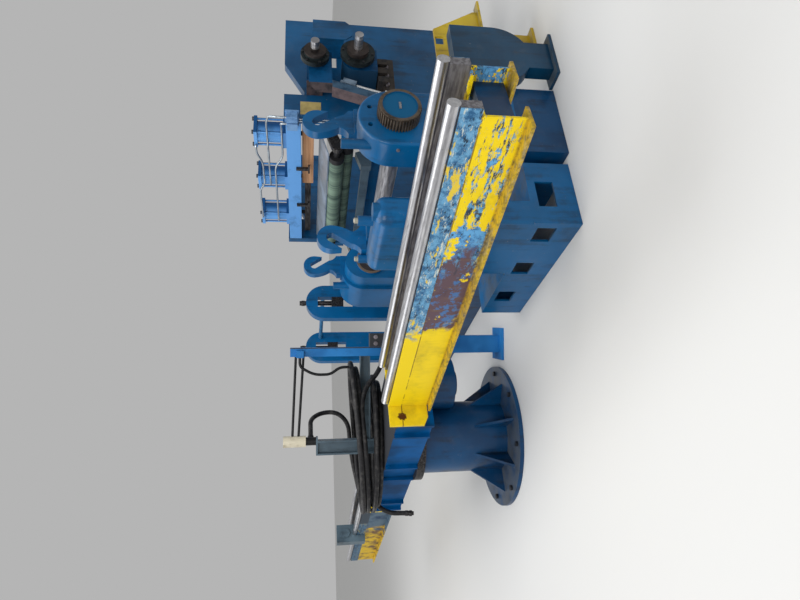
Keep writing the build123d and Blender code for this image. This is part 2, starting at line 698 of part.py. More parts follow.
def upper_loop():
    """The loop of hose that leans from the lower coil up to the boom."""
    on_boom, on_coil = boom_support(), coil_support()
    slope = (BOOM_TOP - LOWER_COIL_TOP) / (on_boom + on_coil)
    place = Pos(*UPPER_COIL_CENTRE, BOOM_TOP + SEAT_GAP - slope * on_boom)
    lean = Rot(0, -math.degrees(math.atan(slope)), 0)
    return place * Rot(0, 0, COIL_ANGLE) * lean * coil(UPPER_COIL_RADIUS)


def make_lower_hose():
    """The coil of loose hose on the hub, and its end, which hangs down beside the hub."""
    place = Pos(*LOWER_COIL_CENTRE, LOWER_COIL_BOTTOM) * Rot(0, 0, COIL_ANGLE)
    save("hose_coil", place * coil(LOWER_COIL_RADIUS))
    heading = math.radians(TAIL_DIRECTION)
    points = [Vector(*TAIL_START, LOWER_COIL_BOTTOM)]
    for length, tilt in TAIL_RUNS:
        lean = math.radians(tilt)
        step = Vector(math.sin(lean) * math.cos(heading), math.sin(lean) * math.sin(heading), -math.cos(lean))
        points.append(points[-1] + step * length)
    save("hose_tail", tube(points, HOSE_DIAMETER / 2))
    end = Plane(origin=points[-1], z_dir=points[-1] - points[-2])
    save("hose_end_fitting", extrude(end * Circle(END_FITTING_RADIUS), END_FITTING_LENGTH))


def make_upper_hose():
    """The loop of hose on the boom, its lead to the valve and its lead to the rotary union."""
    loop = upper_loop()
    save("upper_hose_loop", loop)
    lean = math.radians(LEAD_LEAN)
    reach, y, z = VALVE_PORT
    flat, slanted = LEAD_RUNS
    lead = [(reach, y, z), (reach - flat, y, z),
            (reach - flat - slanted * math.cos(lean), y, z + slanted * math.sin(lean))]
    lead.append((lead[-1][0], y, BOOM_TOP + HOSE_BITE))
    hose = BOOM_FRAME * tube(lead, HOSE_DIAMETER / 2) - loop
    save("valve_hose", hose.solids().sort_by(Axis.Z)[0])
    lean = math.radians(UNION_HOSE_LEAN)
    flat, slanted = UNION_HOSE_RUNS
    bend = UNION_OUTLET_REACH + flat
    lead = [(UNION_OUTLET_REACH, 0, UNION_OUTLET_Z), (bend, 0, UNION_OUTLET_Z),
            (bend + slanted * math.cos(lean), 0, UNION_OUTLET_Z - slanted * math.sin(lean))]
    lead.append((lead[-1][0], 0, LOWER_COIL_TOP + COIL_HEIGHT))
    hose = Rot(0, 0, UNION_OUTLET_ANGLE) * tube(lead, HOSE_DIAMETER / 2) - loop
    save("union_hose", hose.solids().sort_by(Axis.Z)[-1])


def make_front_bed():
    """The low box bed under the gearbox, with a row of windows and an opening in its end."""
    y0, y1 = FRONT_BED_Y, FRONT_BED_Y + FRONT_BED_WIDTH
    bed = block(FRONT_BED_START, FRONT_BED_END, y0, y1, 0, BED_HEIGHT)
    bed -= block(FRONT_BED_START + BED_WALL, FRONT_BED_END - BED_WALL, y0 + BED_WALL, y1 - BED_WALL,
                 0, BED_HEIGHT - BED_WALL)
    for k in range(WINDOW_COUNT):
        middle = WINDOW_FIRST - k * WINDOW_PITCH
        bed -= block(middle - WINDOW_WIDTH / 2, middle + WINDOW_WIDTH / 2, y0, y0 + BED_WALL,
                     WINDOW_BOTTOM, WINDOW_BOTTOM + WINDOW_HEIGHT)
    near, far, low, high = END_OPENING
    bed -= block(FRONT_BED_END - BED_WALL, FRONT_BED_END, y0 + near, y0 + far, low, high)
    save("front_bed", bed)


def make_gearbox():
    """The column on the bed's corner, the rounded gearbox casting on it and the hook's pedestal."""
    y0, x1 = FRONT_BED_Y, FRONT_BED_END
    column = block(x1 - COLUMN_LENGTH, x1, y0, y0 + COLUMN_DEPTH, BED_HEIGHT, GEARBOX_BOTTOM)
    column = fillet(column.edges().filter_by(Axis.Z).group_by(Axis.Y)[0], COLUMN_ROUND)
    save("gearbox_column", column)
    y1 = y0 + GEARBOX_DEPTH
    casting = block(GEARBOX_START, x1 - 2 * GEARBOX_INSET, y0 + GEARBOX_INSET, y1, GEARBOX_BOTTOM, GEARBOX_TOP)
    casting = fillet(casting.edges().filter_by(Axis.Z), GEARBOX_SIDE_ROUND)
    casting = fillet(casting.faces().sort_by(Axis.Z)[-1].edges(), GEARBOX_TOP_ROUND)
    middle = (y0 + y1) / 2
    casting += post(GEARBOX_START + GEARBOX_STUD_INSET, middle, GEARBOX_BOTTOM,
                    GEARBOX_TOP + GEARBOX_STUD_RISE, GEARBOX_STUD_RADIUS)
    casting += post(x1 - GEARBOX_NECK_INSET, middle, GEARBOX_BOTTOM,
                    GEARBOX_TOP + GEARBOX_NECK_RISE, GEARBOX_NECK_RADIUS)
    casting += post(x1 - GEARBOX_DOME_INSET, middle, GEARBOX_BOTTOM,
                    GEARBOX_TOP + GEARBOX_DOME_RISE, GEARBOX_DOME_RADIUS)
    save("front_gearbox", casting)
    pedestal_x = FRONT_HOOK_X - (PEDESTAL_LENGTH - HOOK_THICKNESS) / 2
    save("hook_pedestal", block(pedestal_x, pedestal_x + PEDESTAL_LENGTH, y1,
                                FRONT_HOOK_Y + HOOK_FOOT_WIDTH / 2 + PEDESTAL_MARGIN, BED_HEIGHT, GEARBOX_TOP))


def make_rear_bed():
    """The bed under the two housings and the guide yokes."""
    save("rear_bed", block(REAR_BED_START, REAR_BED_END, REAR_BED_Y, REAR_BED_Y + REAR_BED_WIDTH,
                           0, BED_HEIGHT))


def make_housings():
    """The two round-topped bearing housings, bored in line for the arbor."""
    x0, x1 = RIGHT_HOUSING_START, RIGHT_HOUSING_END
    bore = shaft(LEFT_HOUSING_START + 250, x1, ARBOR_Y, ARBOR_Z, ARBOR_RADIUS + RUNNING_GAP)
    right = round_topped(ARBOR_Y, RIGHT_HOUSING_HALF_WIDTH, BED_HEIGHT, RIGHT_HOUSING_TOP, x0, x1)
    outer_face = right.faces().sort_by(Axis.X)[-1]
    right = fillet(outer_face.edges().sort_by(Axis.Z)[1:], HOUSING_EDGE)
    for sign in (-1, 1):
        right -= shaft(x1 - HOUSING_HOLE_DEPTH, x1, ARBOR_Y + sign * HOUSING_HOLE_SPACING / 2,
                       HOUSING_HOLE_Z, HOUSING_HOLE_RADIUS)
    right += post(x1 - 98, ARBOR_Y - RIGHT_HOUSING_HALF_WIDTH + PILLAR_RADIUS + PILLAR_INSET,
                  BED_HEIGHT, PILLAR_TOP, PILLAR_RADIUS)
    pad_top = RIGHT_HOUSING_TOP + PAD_PROUD
    reach = HOOK_FOOT_WIDTH / 2
    right += block(x0, RIGHT_HOOK_X + HOOK_THICKNESS + 20, RIGHT_HOOK_Y - reach, RIGHT_HOOK_Y + reach,
                   ARBOR_Z, pad_top)
    save("right_housing", right - bore)
    left = round_topped(ARBOR_Y, LEFT_HOUSING_HALF_WIDTH, BED_HEIGHT, LEFT_HOUSING_TOP,
                        LEFT_HOUSING_START, LEFT_HOUSING_STEP)
    left += round_topped(ARBOR_Y, LEFT_SNOUT_HALF_WIDTH, BED_HEIGHT, LEFT_HOUSING_TOP - 25,
                         LEFT_HOUSING_STEP, LEFT_HOUSING_END)
    left += post(170, ARBOR_Y - LEFT_HOUSING_HALF_WIDTH + PILLAR_RADIUS + PILLAR_INSET,
                 BED_HEIGHT, PILLAR_TOP - 30, PILLAR_RADIUS)
    left += block(LEFT_HOOK_X - 30, LEFT_HOUSING_STEP, LEFT_HOOK_Y - reach, LEFT_HOOK_Y + reach,
                  ARBOR_Z + 60, LEFT_HOUSING_TOP + PAD_PROUD)
    left += shaft(LEFT_HOUSING_END, LEFT_HOUSING_END + BEARING_DISC_THICKNESS, ARBOR_Y, ARBOR_Z,
                  BEARING_DISC_RADIUS)
    save("left_housing", left - bore)


def gear_outline():
    """The toothed outline of the ring gear, as (y, z) points about its own centre."""
    points = []
    pitch = 2 * math.pi / GEAR_TEETH
    for k in range(GEAR_TEETH):
        for share, radius in ((0.0, GEAR_ROOT_RADIUS), (0.3, GEAR_ROOT_RADIUS), (0.45, GEAR_RADIUS),
                              (0.85, GEAR_RADIUS)):
            angle = pitch * (k + share)
            points.append((radius * math.cos(angle), radius * math.sin(angle)))
    return points


def make_arbor():
    """The arbor and the toothed ring gear on its end."""
    save("arbor", shaft(LEFT_HOUSING_START + 250, GEAR_START, ARBOR_Y, ARBOR_Z, ARBOR_RADIUS))
    points = [(ARBOR_Y + y, ARBOR_Z + z) for y, z in gear_outline()]
    end = GEAR_START + GEAR_FACE
    gear = cross_plate(points, GEAR_START, end - GEAR_CAP_RECESS)
    gear += shaft(end - GEAR_CAP_RECESS, end, ARBOR_Y, ARBOR_Z, GEAR_RIM_RADIUS)
    gear -= shaft(end - GEAR_CAP_RECESS, end, ARBOR_Y, ARBOR_Z, GEAR_CAP_RADIUS)
    save("ring_gear", gear)


def hook(x, y, z, facing):
    """One hook casting, its foot on (y, z) and its mouth towards +Y or -Y."""
    foot, rise = HOOK_FOOT_WIDTH / 2, HOOK_FOOT_HEIGHT
    radius, centre = HOOK_RADIUS, HOOK_CENTRE_HEIGHT
    side = (-radius, centre - 6)
    shoulder = (radius, centre - 10)
    flare_z = 0.5 * (HOOK_NECK_LEFT[1] + rise)
    outline = [
        ThreePointArc(side, (0, centre + radius), shoulder),
        Line(shoulder, HOOK_TIP),
        Line(HOOK_TIP, HOOK_MOUTH_NOSE),
        ThreePointArc(HOOK_MOUTH_NOSE, HOOK_MOUTH_TOP, HOOK_MOUTH_SIDE),
        Line(HOOK_MOUTH_SIDE, HOOK_NECK_RIGHT),
        ThreePointArc(HOOK_NECK_RIGHT, (HOOK_NECK_RIGHT[0] + HOOK_FLARE, flare_z), (foot, rise)),
        Polyline((foot, rise), (foot, 0), (-foot, 0), (-foot, rise)),
        ThreePointArc((-foot, rise), (HOOK_NECK_LEFT[0] - HOOK_FLARE, flare_z), HOOK_NECK_LEFT),
        ThreePointArc(HOOK_NECK_LEFT, (-0.78 * radius, 0.62 * centre), side),
    ]
    casting = extrude(Plane.YZ * make_face(outline), HOOK_THICKNESS, dir=(1, 0, 0))
    if facing < 0:
        casting = mirror(casting, Plane.XZ)
    return Pos(x, y, z) * casting


def make_hooks():
    """The three hooks, on the two housings and on the pedestal behind the gearbox."""
    save("lifting_hooks", hook(LEFT_HOOK_X, LEFT_HOOK_Y, LEFT_HOUSING_TOP + PAD_PROUD, 1),
         hook(RIGHT_HOOK_X, RIGHT_HOOK_Y, RIGHT_HOUSING_TOP + PAD_PROUD, 1),
         hook(FRONT_HOOK_X, FRONT_HOOK_Y, GEARBOX_TOP, -1))


def side_frame(x):
    """One side frame of the tension stand, with the slanted notch in its top."""
    y0, y1 = STAND_Y, STAND_Y + STAND_DEPTH
    outline = [(y0, 0), (y1, 0), (y1, STAND_TOP), (y0 + NOTCH_END, STAND_TOP),
               (y0 + NOTCH_START + NOTCH_SLOPE_START, NOTCH_FLOOR), (y0 + NOTCH_START, NOTCH_FLOOR),
               (y0 + NOTCH_START, STAND_TOP), (y0, STAND_TOP)]
    frame = cross_plate(outline, x, x + STAND_PLATE)
    near = y0 + FRAME_WINDOW_START
    return frame - block(x, x + STAND_PLATE, near, near + FRAME_WINDOW_LENGTH,
                         FRAME_WINDOW_BOTTOM, FRAME_WINDOW_TOP)


def make_tension_stand():
    """The side frames, the top beam with its cylinders and the front cross beam."""
    inner0, inner1 = LEFT_FRAME_X + STAND_PLATE, RIGHT_FRAME_X
    save("left_side_frame", side_frame(LEFT_FRAME_X))
    save("right_side_frame", side_frame(RIGHT_FRAME_X))
    beam = block(inner0, inner1, STAND_Y, STAND_Y + BEAM_DEPTH, BEAM_BOTTOM, BEAM_TOP)
    beam -= block(inner0, inner1, STAND_Y + BEAM_WALL, STAND_Y + BEAM_DEPTH - BEAM_WALL,
                  BEAM_BOTTOM, BEAM_TOP - BEAM_WALL)
    for x in CYLINDER_PLACES:
        beam -= post(x, CYLINDER_Y, BEAM_BOTTOM, BEAM_TOP, PISTON_ROD_RADIUS + RUNNING_GAP)
    save("top_beam", beam)
    save("pressure_cylinders", *[pressure_cylinder(x) for x in CYLINDER_PLACES])
    make_tubing()
    save("front_cross_beam", block(inner0, inner1, CROSS_BEAM_Y, CROSS_BEAM_Y + CROSS_BEAM_DEPTH,
                                   CROSS_BEAM_Z, CROSS_BEAM_Z + CROSS_BEAM_HEIGHT))
    guides = []
    for x in HANGER_PLACES:
        y = STAND_Y - HANGER_DEPTH
        hanger = block(x - HANGER_HALF_WIDTH, x + HANGER_HALF_WIDTH, y, STAND_Y,
                       HANGER_BOTTOM, BEAM_BOTTOM + HANGER_OVERLAP)
        guides.append(hanger + block(x - HANGER_LUG_HALF_WIDTH, x + HANGER_LUG_HALF_WIDTH, y, STAND_Y,
                                     HANGER_BOTTOM, HANGER_BOTTOM + HANGER_LUG_HEIGHT))
    save("beam_hangers", *guides)


def pressure_cylinder(x):
    """One tie-rod cylinder on the top beam, bored for its piston rod."""
    half = CYLINDER_CAP_SIZE / 2
    z1 = BEAM_TOP + CYLINDER_CAP_HEIGHT
    z2 = z1 + CYLINDER_HEIGHT
    body = block(x - half, x + half, CYLINDER_Y - half, CYLINDER_Y + half, BEAM_TOP, z1)
    body += post(x, CYLINDER_Y, z1, z2, CYLINDER_RADIUS)
    body += block(x - half, x + half, CYLINDER_Y - half, CYLINDER_Y + half, z2, z2 + CYLINDER_CAP_HEIGHT)
    offset = half - 2 * TIE_ROD_RADIUS
    for sx in (-1, 1):
        for sy in (-1, 1):
            body += post(x + sx * offset, CYLINDER_Y + sy * offset, z1, z2, TIE_ROD_RADIUS)
    return body - post(x, CYLINDER_Y, BEAM_TOP, z1 + 3 * PAD_TRAVEL, PISTON_ROD_RADIUS + RUNNING_GAP)


def tube_junction():
    """The block on the right frame's front edge that the cylinders' tubes run to, and its ports."""
    x0, y1 = RIGHT_FRAME_X, STAND_Y
    y0 = y1 - JUNCTION_REACH
    plate_start, plate_end = JUNCTION_PLATE
    junction = block(x0 + plate_start, x0 + plate_end, y1 - JUNCTION_PLATE_THICKNESS, y1,
                     JUNCTION_BOTTOM - JUNCTION_PLATE_MARGIN, JUNCTION_TOP + JUNCTION_PLATE_MARGIN)
    ports = []
    for start, end in JUNCTION_BLOCKS:
        junction += block(x0 + start, x0 + end, y0, y1, JUNCTION_BOTTOM, JUNCTION_TOP)
        ports.append(x0 + (start + end) / 2)
    return junction, ports


def make_tubing():
    """The tubes that join the cylinders to each other and to the junction block."""
    ports = tube_junction()[1]
    left, middle, right = CYLINDER_PLACES
    cap_face = CYLINDER_Y - CYLINDER_CAP_SIZE / 2
    barrel_face = CYLINDER_Y - CYLINDER_RADIUS
    front = cap_face - TUBING_STANDOFF
    port_y = STAND_Y - JUNCTION_REACH / 2 - TUBING_RADIUS
    cap_z = BEAM_TOP + 1.5 * CYLINDER_CAP_HEIGHT + CYLINDER_HEIGHT
    dip_start, dip_left, dip_right, dip_end, dip_z = TOP_TUBE_DIP
    start_x, end_x = left + TUBE_PORT_SHIFT, right - TUBE_PORT_SHIFT
    top = [(start_x, cap_face, cap_z), (start_x, front, cap_z), (dip_start, front, cap_z),
           (dip_left, front, dip_z), (dip_right, front, dip_z), (dip_end, front, cap_z),
           (end_x, front, cap_z), (end_x, cap_face, cap_z)]
    z = MIDDLE_TUBE_Z
    second = [(middle, barrel_face, z), (middle, front, z), (RIGHT_FRAME_X, front, z),
              (ports[1] - 30, front - 10, z - 22), (ports[1], port_y, z - 75), (ports[1], port_y, JUNCTION_TOP)]
    drop_start, drop_end, drop_z = LOW_TUBE_DROP
    z = LOW_TUBE_Z
    third = [(left, barrel_face, z), (left, front, z), (drop_start, front, z), (drop_end, front, drop_z),
             (RIGHT_FRAME_X - 50, front, drop_z), (ports[0] + 10, port_y, drop_z), (ports[0] + 10, port_y, JUNCTION_TOP)]
    save("cylinder_tubing", *[tube(route, TUBING_RADIUS) for route in (top, second, third)])


def make_pad():
    """The pressure bar on the three piston rods, and the wooden pad board on its front."""
    low, high = CYLINDER_Y - PAD_BAR_DEPTH / 2, CYLINDER_Y + PAD_BAR_DEPTH / 2
    bar = block(PAD_BAR_START, PAD_BAR_END, low, high, PAD_BAR_BOTTOM, PAD_BAR_TOP)
    for x in CYLINDER_PLACES:
        bar += post(x, CYLINDER_Y, PAD_BAR_TOP, BEAM_TOP + CYLINDER_CAP_HEIGHT + 2 * PAD_TRAVEL,
                    PISTON_ROD_RADIUS)
    save("pad_bar", bar)
    save("pad_board", block(PAD_BOARD_START, PAD_BOARD_END, low - PAD_BOARD_THICKNESS, low,
                            PAD_BOARD_BOTTOM, PAD_BOARD_TOP))


def make_table():
    """The tilted guide plate over the rolls, its back strip reaching both side frames."""
    table = block(TABLE_START, TABLE_END, 0, TABLE_LENGTH, -TABLE_THICKNESS, 0)
    table += block(LEFT_FRAME_X + STAND_PLATE, RIGHT_FRAME_X, TABLE_LENGTH - TABLE_STRIP, TABLE_LENGTH,
                   -TABLE_THICKNESS, 0)
    save("table_plate", Pos(0, TABLE_FRONT_Y, TABLE_FRONT_Z) * Rot(TABLE_SLOPE, 0, 0) * table)


def swing_arm(x0, pin_x0, pin_x1):
    """An arm from the upper roll's journal up to its pivot pin on the side frame."""
    x1 = x0 + SWING_ARM_THICKNESS
    dy, dz = SWING_PIVOT_Y - UPPER_ROLL_Y, SWING_PIVOT_Z - UPPER_ROLL_Z
    length = math.hypot(dy, dz)
    across = (-dz / length, dy / length)
    big, small = SWING_PIVOT_RADIUS + 8, SWING_PIVOT_RADIUS
    arm = cross_plate([(UPPER_ROLL_Y + big * across[0], UPPER_ROLL_Z + big * across[1]),
                       (UPPER_ROLL_Y - big * across[0], UPPER_ROLL_Z - big * across[1]),
                       (SWING_PIVOT_Y - small * across[0], SWING_PIVOT_Z - small * across[1]),
                       (SWING_PIVOT_Y + small * across[0], SWING_PIVOT_Z + small * across[1])], x0, x1)
    arm += shaft(x0, x1, UPPER_ROLL_Y, UPPER_ROLL_Z, big)
    arm += shaft(x0, x1, SWING_PIVOT_Y, SWING_PIVOT_Z, small)
    arm += shaft(pin_x0, pin_x1, SWING_PIVOT_Y, SWING_PIVOT_Z, small / 2)
    return arm - shaft(x0, x1, UPPER_ROLL_Y, UPPER_ROLL_Z, JOURNAL_RADIUS + RUNNING_GAP)


def roll_bracket(x0):
    """A bearing block for the lower roll, on the inner face of a side frame."""
    x1 = x0 + ROLL_BRACKET_WIDTH
    half = ROLL_BRACKET_HALF_HEIGHT
    body = block(x0, x1, LOWER_ROLL_Y - half, LOWER_ROLL_Y + ROLL_BRACKET_REACH,
                 LOWER_ROLL_Z - half, LOWER_ROLL_Z + half)
    return body - shaft(x0, x1, LOWER_ROLL_Y, LOWER_ROLL_Z, JOURNAL_RADIUS + RUNNING_GAP)


def make_rolls():
    """The two guide rolls, the swing arms of the upper one and the blocks of the lower one."""
    inner0, inner1 = LEFT_FRAME_X + STAND_PLATE, RIGHT_FRAME_X
    ring_end = UPPER_ROLL_END + ROLL_RING
    right_arm = ring_end + SWING_ARM_GAP
    left_arm = ROLL_START - SWING_ARM_GAP - SWING_ARM_THICKNESS
    upper = shaft(ROLL_START, ring_end, UPPER_ROLL_Y, UPPER_ROLL_Z, ROLL_RADIUS)
    upper += shaft(left_arm, right_arm + SWING_ARM_THICKNESS, UPPER_ROLL_Y, UPPER_ROLL_Z, JOURNAL_RADIUS)
    save("upper_roll", upper)
    save("upper_roll_arms", swing_arm(right_arm, right_arm, inner1), swing_arm(left_arm, inner0, left_arm))
    lower = shaft(ROLL_START, LOWER_ROLL_END, LOWER_ROLL_Y, LOWER_ROLL_Z, ROLL_RADIUS)
    lower += shaft(inner0 + 10, inner1 - 10, LOWER_ROLL_Y, LOWER_ROLL_Z, JOURNAL_RADIUS)
    save("lower_roll", lower)
    save("lower_roll_blocks", roll_bracket(inner0), roll_bracket(inner1 - ROLL_BRACKET_WIDTH))


def make_guide_bar():
    """The light guide bar in front of the rolls and the two supports on the cross beam."""
    y, z = GUIDE_BAR_Y, GUIDE_BAR_Z
    bar = block(GUIDE_BAR_START, GUIDE_BAR_END, y, y + GUIDE_BAR_DEPTH, z, z + GUIDE_BAR_HEIGHT)
    beam_top = CROSS_BEAM_Z + CROSS_BEAM_HEIGHT
    front = y - SUPPORT_DROP
    shoulder_y, shoulder_z = SUPPORT_SHOULDER
    outline = [(front, z - SUPPORT_DROP), (front, z + SUPPORT_HEIGHT), (y + shoulder_y, z + shoulder_z),
               (y + SUPPORT_HEEL, beam_top), (CROSS_BEAM_Y, beam_top)]
    bar += cross_plate(outline, GUIDE_BAR_END, GUIDE_BAR_END + SUPPORT_WIDTH)
    bar += cross_plate(outline, GUIDE_BAR_START - SUPPORT_WIDTH, GUIDE_BAR_START)
    save("guide_bar", bar)


def spindle(y, z, start, flange_radius, end):
    """A drive spindle: its shaft in the chock, a coupling flange, a neck and the bare end."""
    neck = start + SPINDLE_FLANGE_THICKNESS
    body = shaft(RIGHT_FRAME_FACE + SPINDLE_BACK_GAP, start, y, z, SPINDLE_SHAFT_RADIUS)
    body += shaft(start, neck, y, z, flange_radius)
    body += shaft(neck, neck + SPINDLE_NECK_LENGTH, y, z, SPINDLE_NECK_RADIUS)
    return body + shaft(neck + SPINDLE_NECK_LENGTH, end, y, z, SPINDLE_RADIUS)


def make_spindles():
    """The two drive spindles and the chocks that carry them on the right side frame."""
    face = RIGHT_FRAME_X + STAND_PLATE
    y, z = UPPER_SPINDLE_Y, UPPER_SPINDLE_Z
    back, top = UPPER_CHOCK_END - UPPER_CHOCK_DEPTH, z + UPPER_CHOCK_RISE
    slope_length, slope_drop = UPPER_CHOCK_SLOPE
    outline = Polyline((back, z - UPPER_CHOCK_DROP), (UPPER_CHOCK_END, z - UPPER_CHOCK_DROP),
                       (UPPER_CHOCK_END, top), (back + slope_length, top), (back, top - slope_drop), close=True)
    upper = extrude(Plane.XZ.offset(UPPER_CHOCK_LEFT - y) * make_face(outline),
                    UPPER_CHOCK_LEFT + UPPER_CHOCK_RIGHT, dir=(0, 1, 0))
    upper += block(face, back, y - UPPER_NECK_LEFT, y + UPPER_CHOCK_RIGHT,
                   z - UPPER_NECK_HALF_HEIGHT, z + UPPER_NECK_HALF_HEIGHT)
    upper -= shaft(face, UPPER_CHOCK_END, y, z, SPINDLE_SHAFT_RADIUS + RUNNING_GAP)
    save("upper_spindle", spindle(y, z, UPPER_CHOCK_END + CHOCK_GAP, UPPER_FLANGE_RADIUS, UPPER_SPINDLE_END))
    y, z = LOWER_SPINDLE_Y, LOWER_SPINDLE_Z
    lower = round_topped(y, LOWER_CHOCK_HALF_WIDTH, z - LOWER_CHOCK_DROP, z + LOWER_CHOCK_HALF_WIDTH,
                         face, LOWER_CHOCK_END)
    lower -= shaft(face, LOWER_CHOCK_END, y, z, SPINDLE_SHAFT_RADIUS + RUNNING_GAP)
    save("spindle_chocks", upper, lower)
    save("lower_spindle", spindle(y, z, LOWER_CHOCK_END + CHOCK_GAP, LOWER_FLANGE_RADIUS, LOWER_SPINDLE_END))


def make_side_gear():
    """What stands on the outside of the right frame: slanted guide, guard and valves."""
    face = RIGHT_FRAME_FACE
    chock_bottom = UPPER_SPINDLE_Z - UPPER_CHOCK_DROP
    slant = Pos(0, STAND_Y + SLANT_OFFSET, chock_bottom) * Rot(-SLANT_ANGLE, 0, 0)
    x0, x1 = UPPER_CHOCK_END - SLANT_WIDTH, UPPER_CHOCK_END
    arm = slant * block(x0, x1, 0, SLANT_THICKNESS, -SLANT_LENGTH, SLANT_THICKNESS)
    reach = STAND_Y + SLANT_OFFSET + 2 * SLANT_THICKNESS
    save("slant_guide", arm - block(x0, x1, STAND_Y, reach, chock_bottom, chock_bottom + 2 * SLANT_THICKNESS))
    middle = (x0 + x1) / 2
    half, lug = RAM_SIZE / 2, RAM_LUG_WIDTH / 2
    near, far = SLANT_THICKNESS + RAM_STANDOFF, SLANT_THICKNESS + RAM_STANDOFF + RAM_SIZE
    axis = (near + far) / 2
    ram_top = -RAM_TOP_DROP - RAM_LUG_LENGTH / 2
    ram_end = ram_top - RAM_LENGTH
    ram = block(middle - half, middle + half, near, far, ram_end, ram_top)
    ram += block(middle - lug, middle + lug, SLANT_THICKNESS, axis, -RAM_TOP_DROP - RAM_LUG_LENGTH, -RAM_TOP_DROP)
    ram += post(middle, axis, RAM_LUG_LENGTH - SLANT_LENGTH, ram_end, RAM_ROD_RADIUS)
    ram += block(middle - lug, middle + lug, SLANT_THICKNESS, axis + lug, -SLANT_LENGTH,
                 RAM_LUG_LENGTH - SLANT_LENGTH)
    save("slant_cylinder", slant * ram)
    x0, x1 = SIDE_GUARD_X, SIDE_GUARD_X + SIDE_GUARD_SHEET
    near = STAND_Y + SIDE_GUARD_OFFSET
    far = near + SIDE_GUARD_LENGTH
    corner = SIDE_GUARD_BOTTOM + SIDE_GUARD_CORNER
    guard = cross_plate([(near, corner), (near + SIDE_GUARD_CORNER, SIDE_GUARD_BOTTOM),
                         (far - SIDE_GUARD_CORNER, SIDE_GUARD_BOTTOM), (far, corner), (far, SIDE_GUARD_TOP),
                         (near, SIDE_GUARD_TOP)], x0, x1)
    guard += block(face, x1, far - SIDE_GUARD_SHEET, far, corner, SIDE_GUARD_TOP)
    save("side_guard", guard)
    near = STAND_Y + MANIFOLD_OFFSET
    top = MANIFOLD_BOTTOM + MANIFOLD_HEIGHT
    manifold = block(face, face + MANIFOLD_LENGTH, near, near + MANIFOLD_DEPTH, MANIFOLD_BOTTOM, top)
    for place in (-1, 0, 1):
        y = near + MANIFOLD_DEPTH / 2 + place * MANIFOLD_VALVE_PITCH
        half = MANIFOLD_VALVE_SIZE / 2
        manifold += block(face, face + MANIFOLD_LENGTH + MANIFOLD_VALVE_PROUD, y - half, y + half,
                          top - half, top + MANIFOLD_VALVE_RISE)
    save("valve_blocks", manifold, tube_junction()[0])


def make_drive_guard():
    """The rounded guard over the drive at the stand's end, on its leg."""
    x0, x1 = GUARD_X, GUARD_X + GUARD_THICKNESS
    left, right = GUARD_Y - GUARD_RADIUS, GUARD_Y + GUARD_RADIUS
    sides = Polyline((left, GUARD_Z), (left, GUARD_TOP), (right, GUARD_TOP), (right, GUARD_Z))
    bottom = ThreePointArc((right, GUARD_Z), (GUARD_Y, GUARD_Z - GUARD_RADIUS), (left, GUARD_Z))
    guard = extrude(Plane.YZ.offset(x0) * make_face(sides + bottom), GUARD_THICKNESS, dir=(1, 0, 0))
    half = GUARD_LEG_WIDTH / 2
    guard += block(x0, x1, GUARD_Y - half, GUARD_Y + half, 0, GUARD_Z)
    guard += block(x0 - 30, x1 + 30, GUARD_Y - half - 60, GUARD_Y + half + 60, 0, 20)
    save("drive_guard", guard)


def make_yellow_bracket():
    """The yellow floor bracket behind the drive guard, with its slanted gusset."""
    x0, x1 = BRACKET_X, BRACKET_X + BRACKET_THICKNESS
    y = BRACKET_Y
    inner, end = y + BRACKET_POST_WIDTH, y + BRACKET_REACH
    plate = cross_plate([(y, 0), (y, BRACKET_TOP), (inner, BRACKET_TOP), (end, BRACKET_ARM_Z + BRACKET_NOSE),
                         (end, BRACKET_ARM_Z), (inner, BRACKET_ARM_Z), (inner, 0)], x0, x1)
    slot = y + BRACKET_SLOT_START
    plate -= block(x0, x1, slot, slot + BRACKET_SLOT_LENGTH,
                   BRACKET_SLOT_BOTTOM, BRACKET_SLOT_BOTTOM + BRACKET_SLOT_HEIGHT)
    plate += block(x0 - BRACKET_FOOT_PROUD, x1 + BRACKET_FOOT_PROUD, y - BRACKET_FOOT_MARGIN,
                   inner + BRACKET_FOOT_MARGIN, 0, BRACKET_FOOT_HEIGHT)
    plate += block(x0 - BRACKET_SHELF_PROUD, x1 + BRACKET_SHELF_PROUD, inner, end + BRACKET_SHELF_MARGIN,
                   BRACKET_ARM_Z - BRACKET_THICKNESS, BRACKET_ARM_Z)
    save("yellow_bracket", plate)


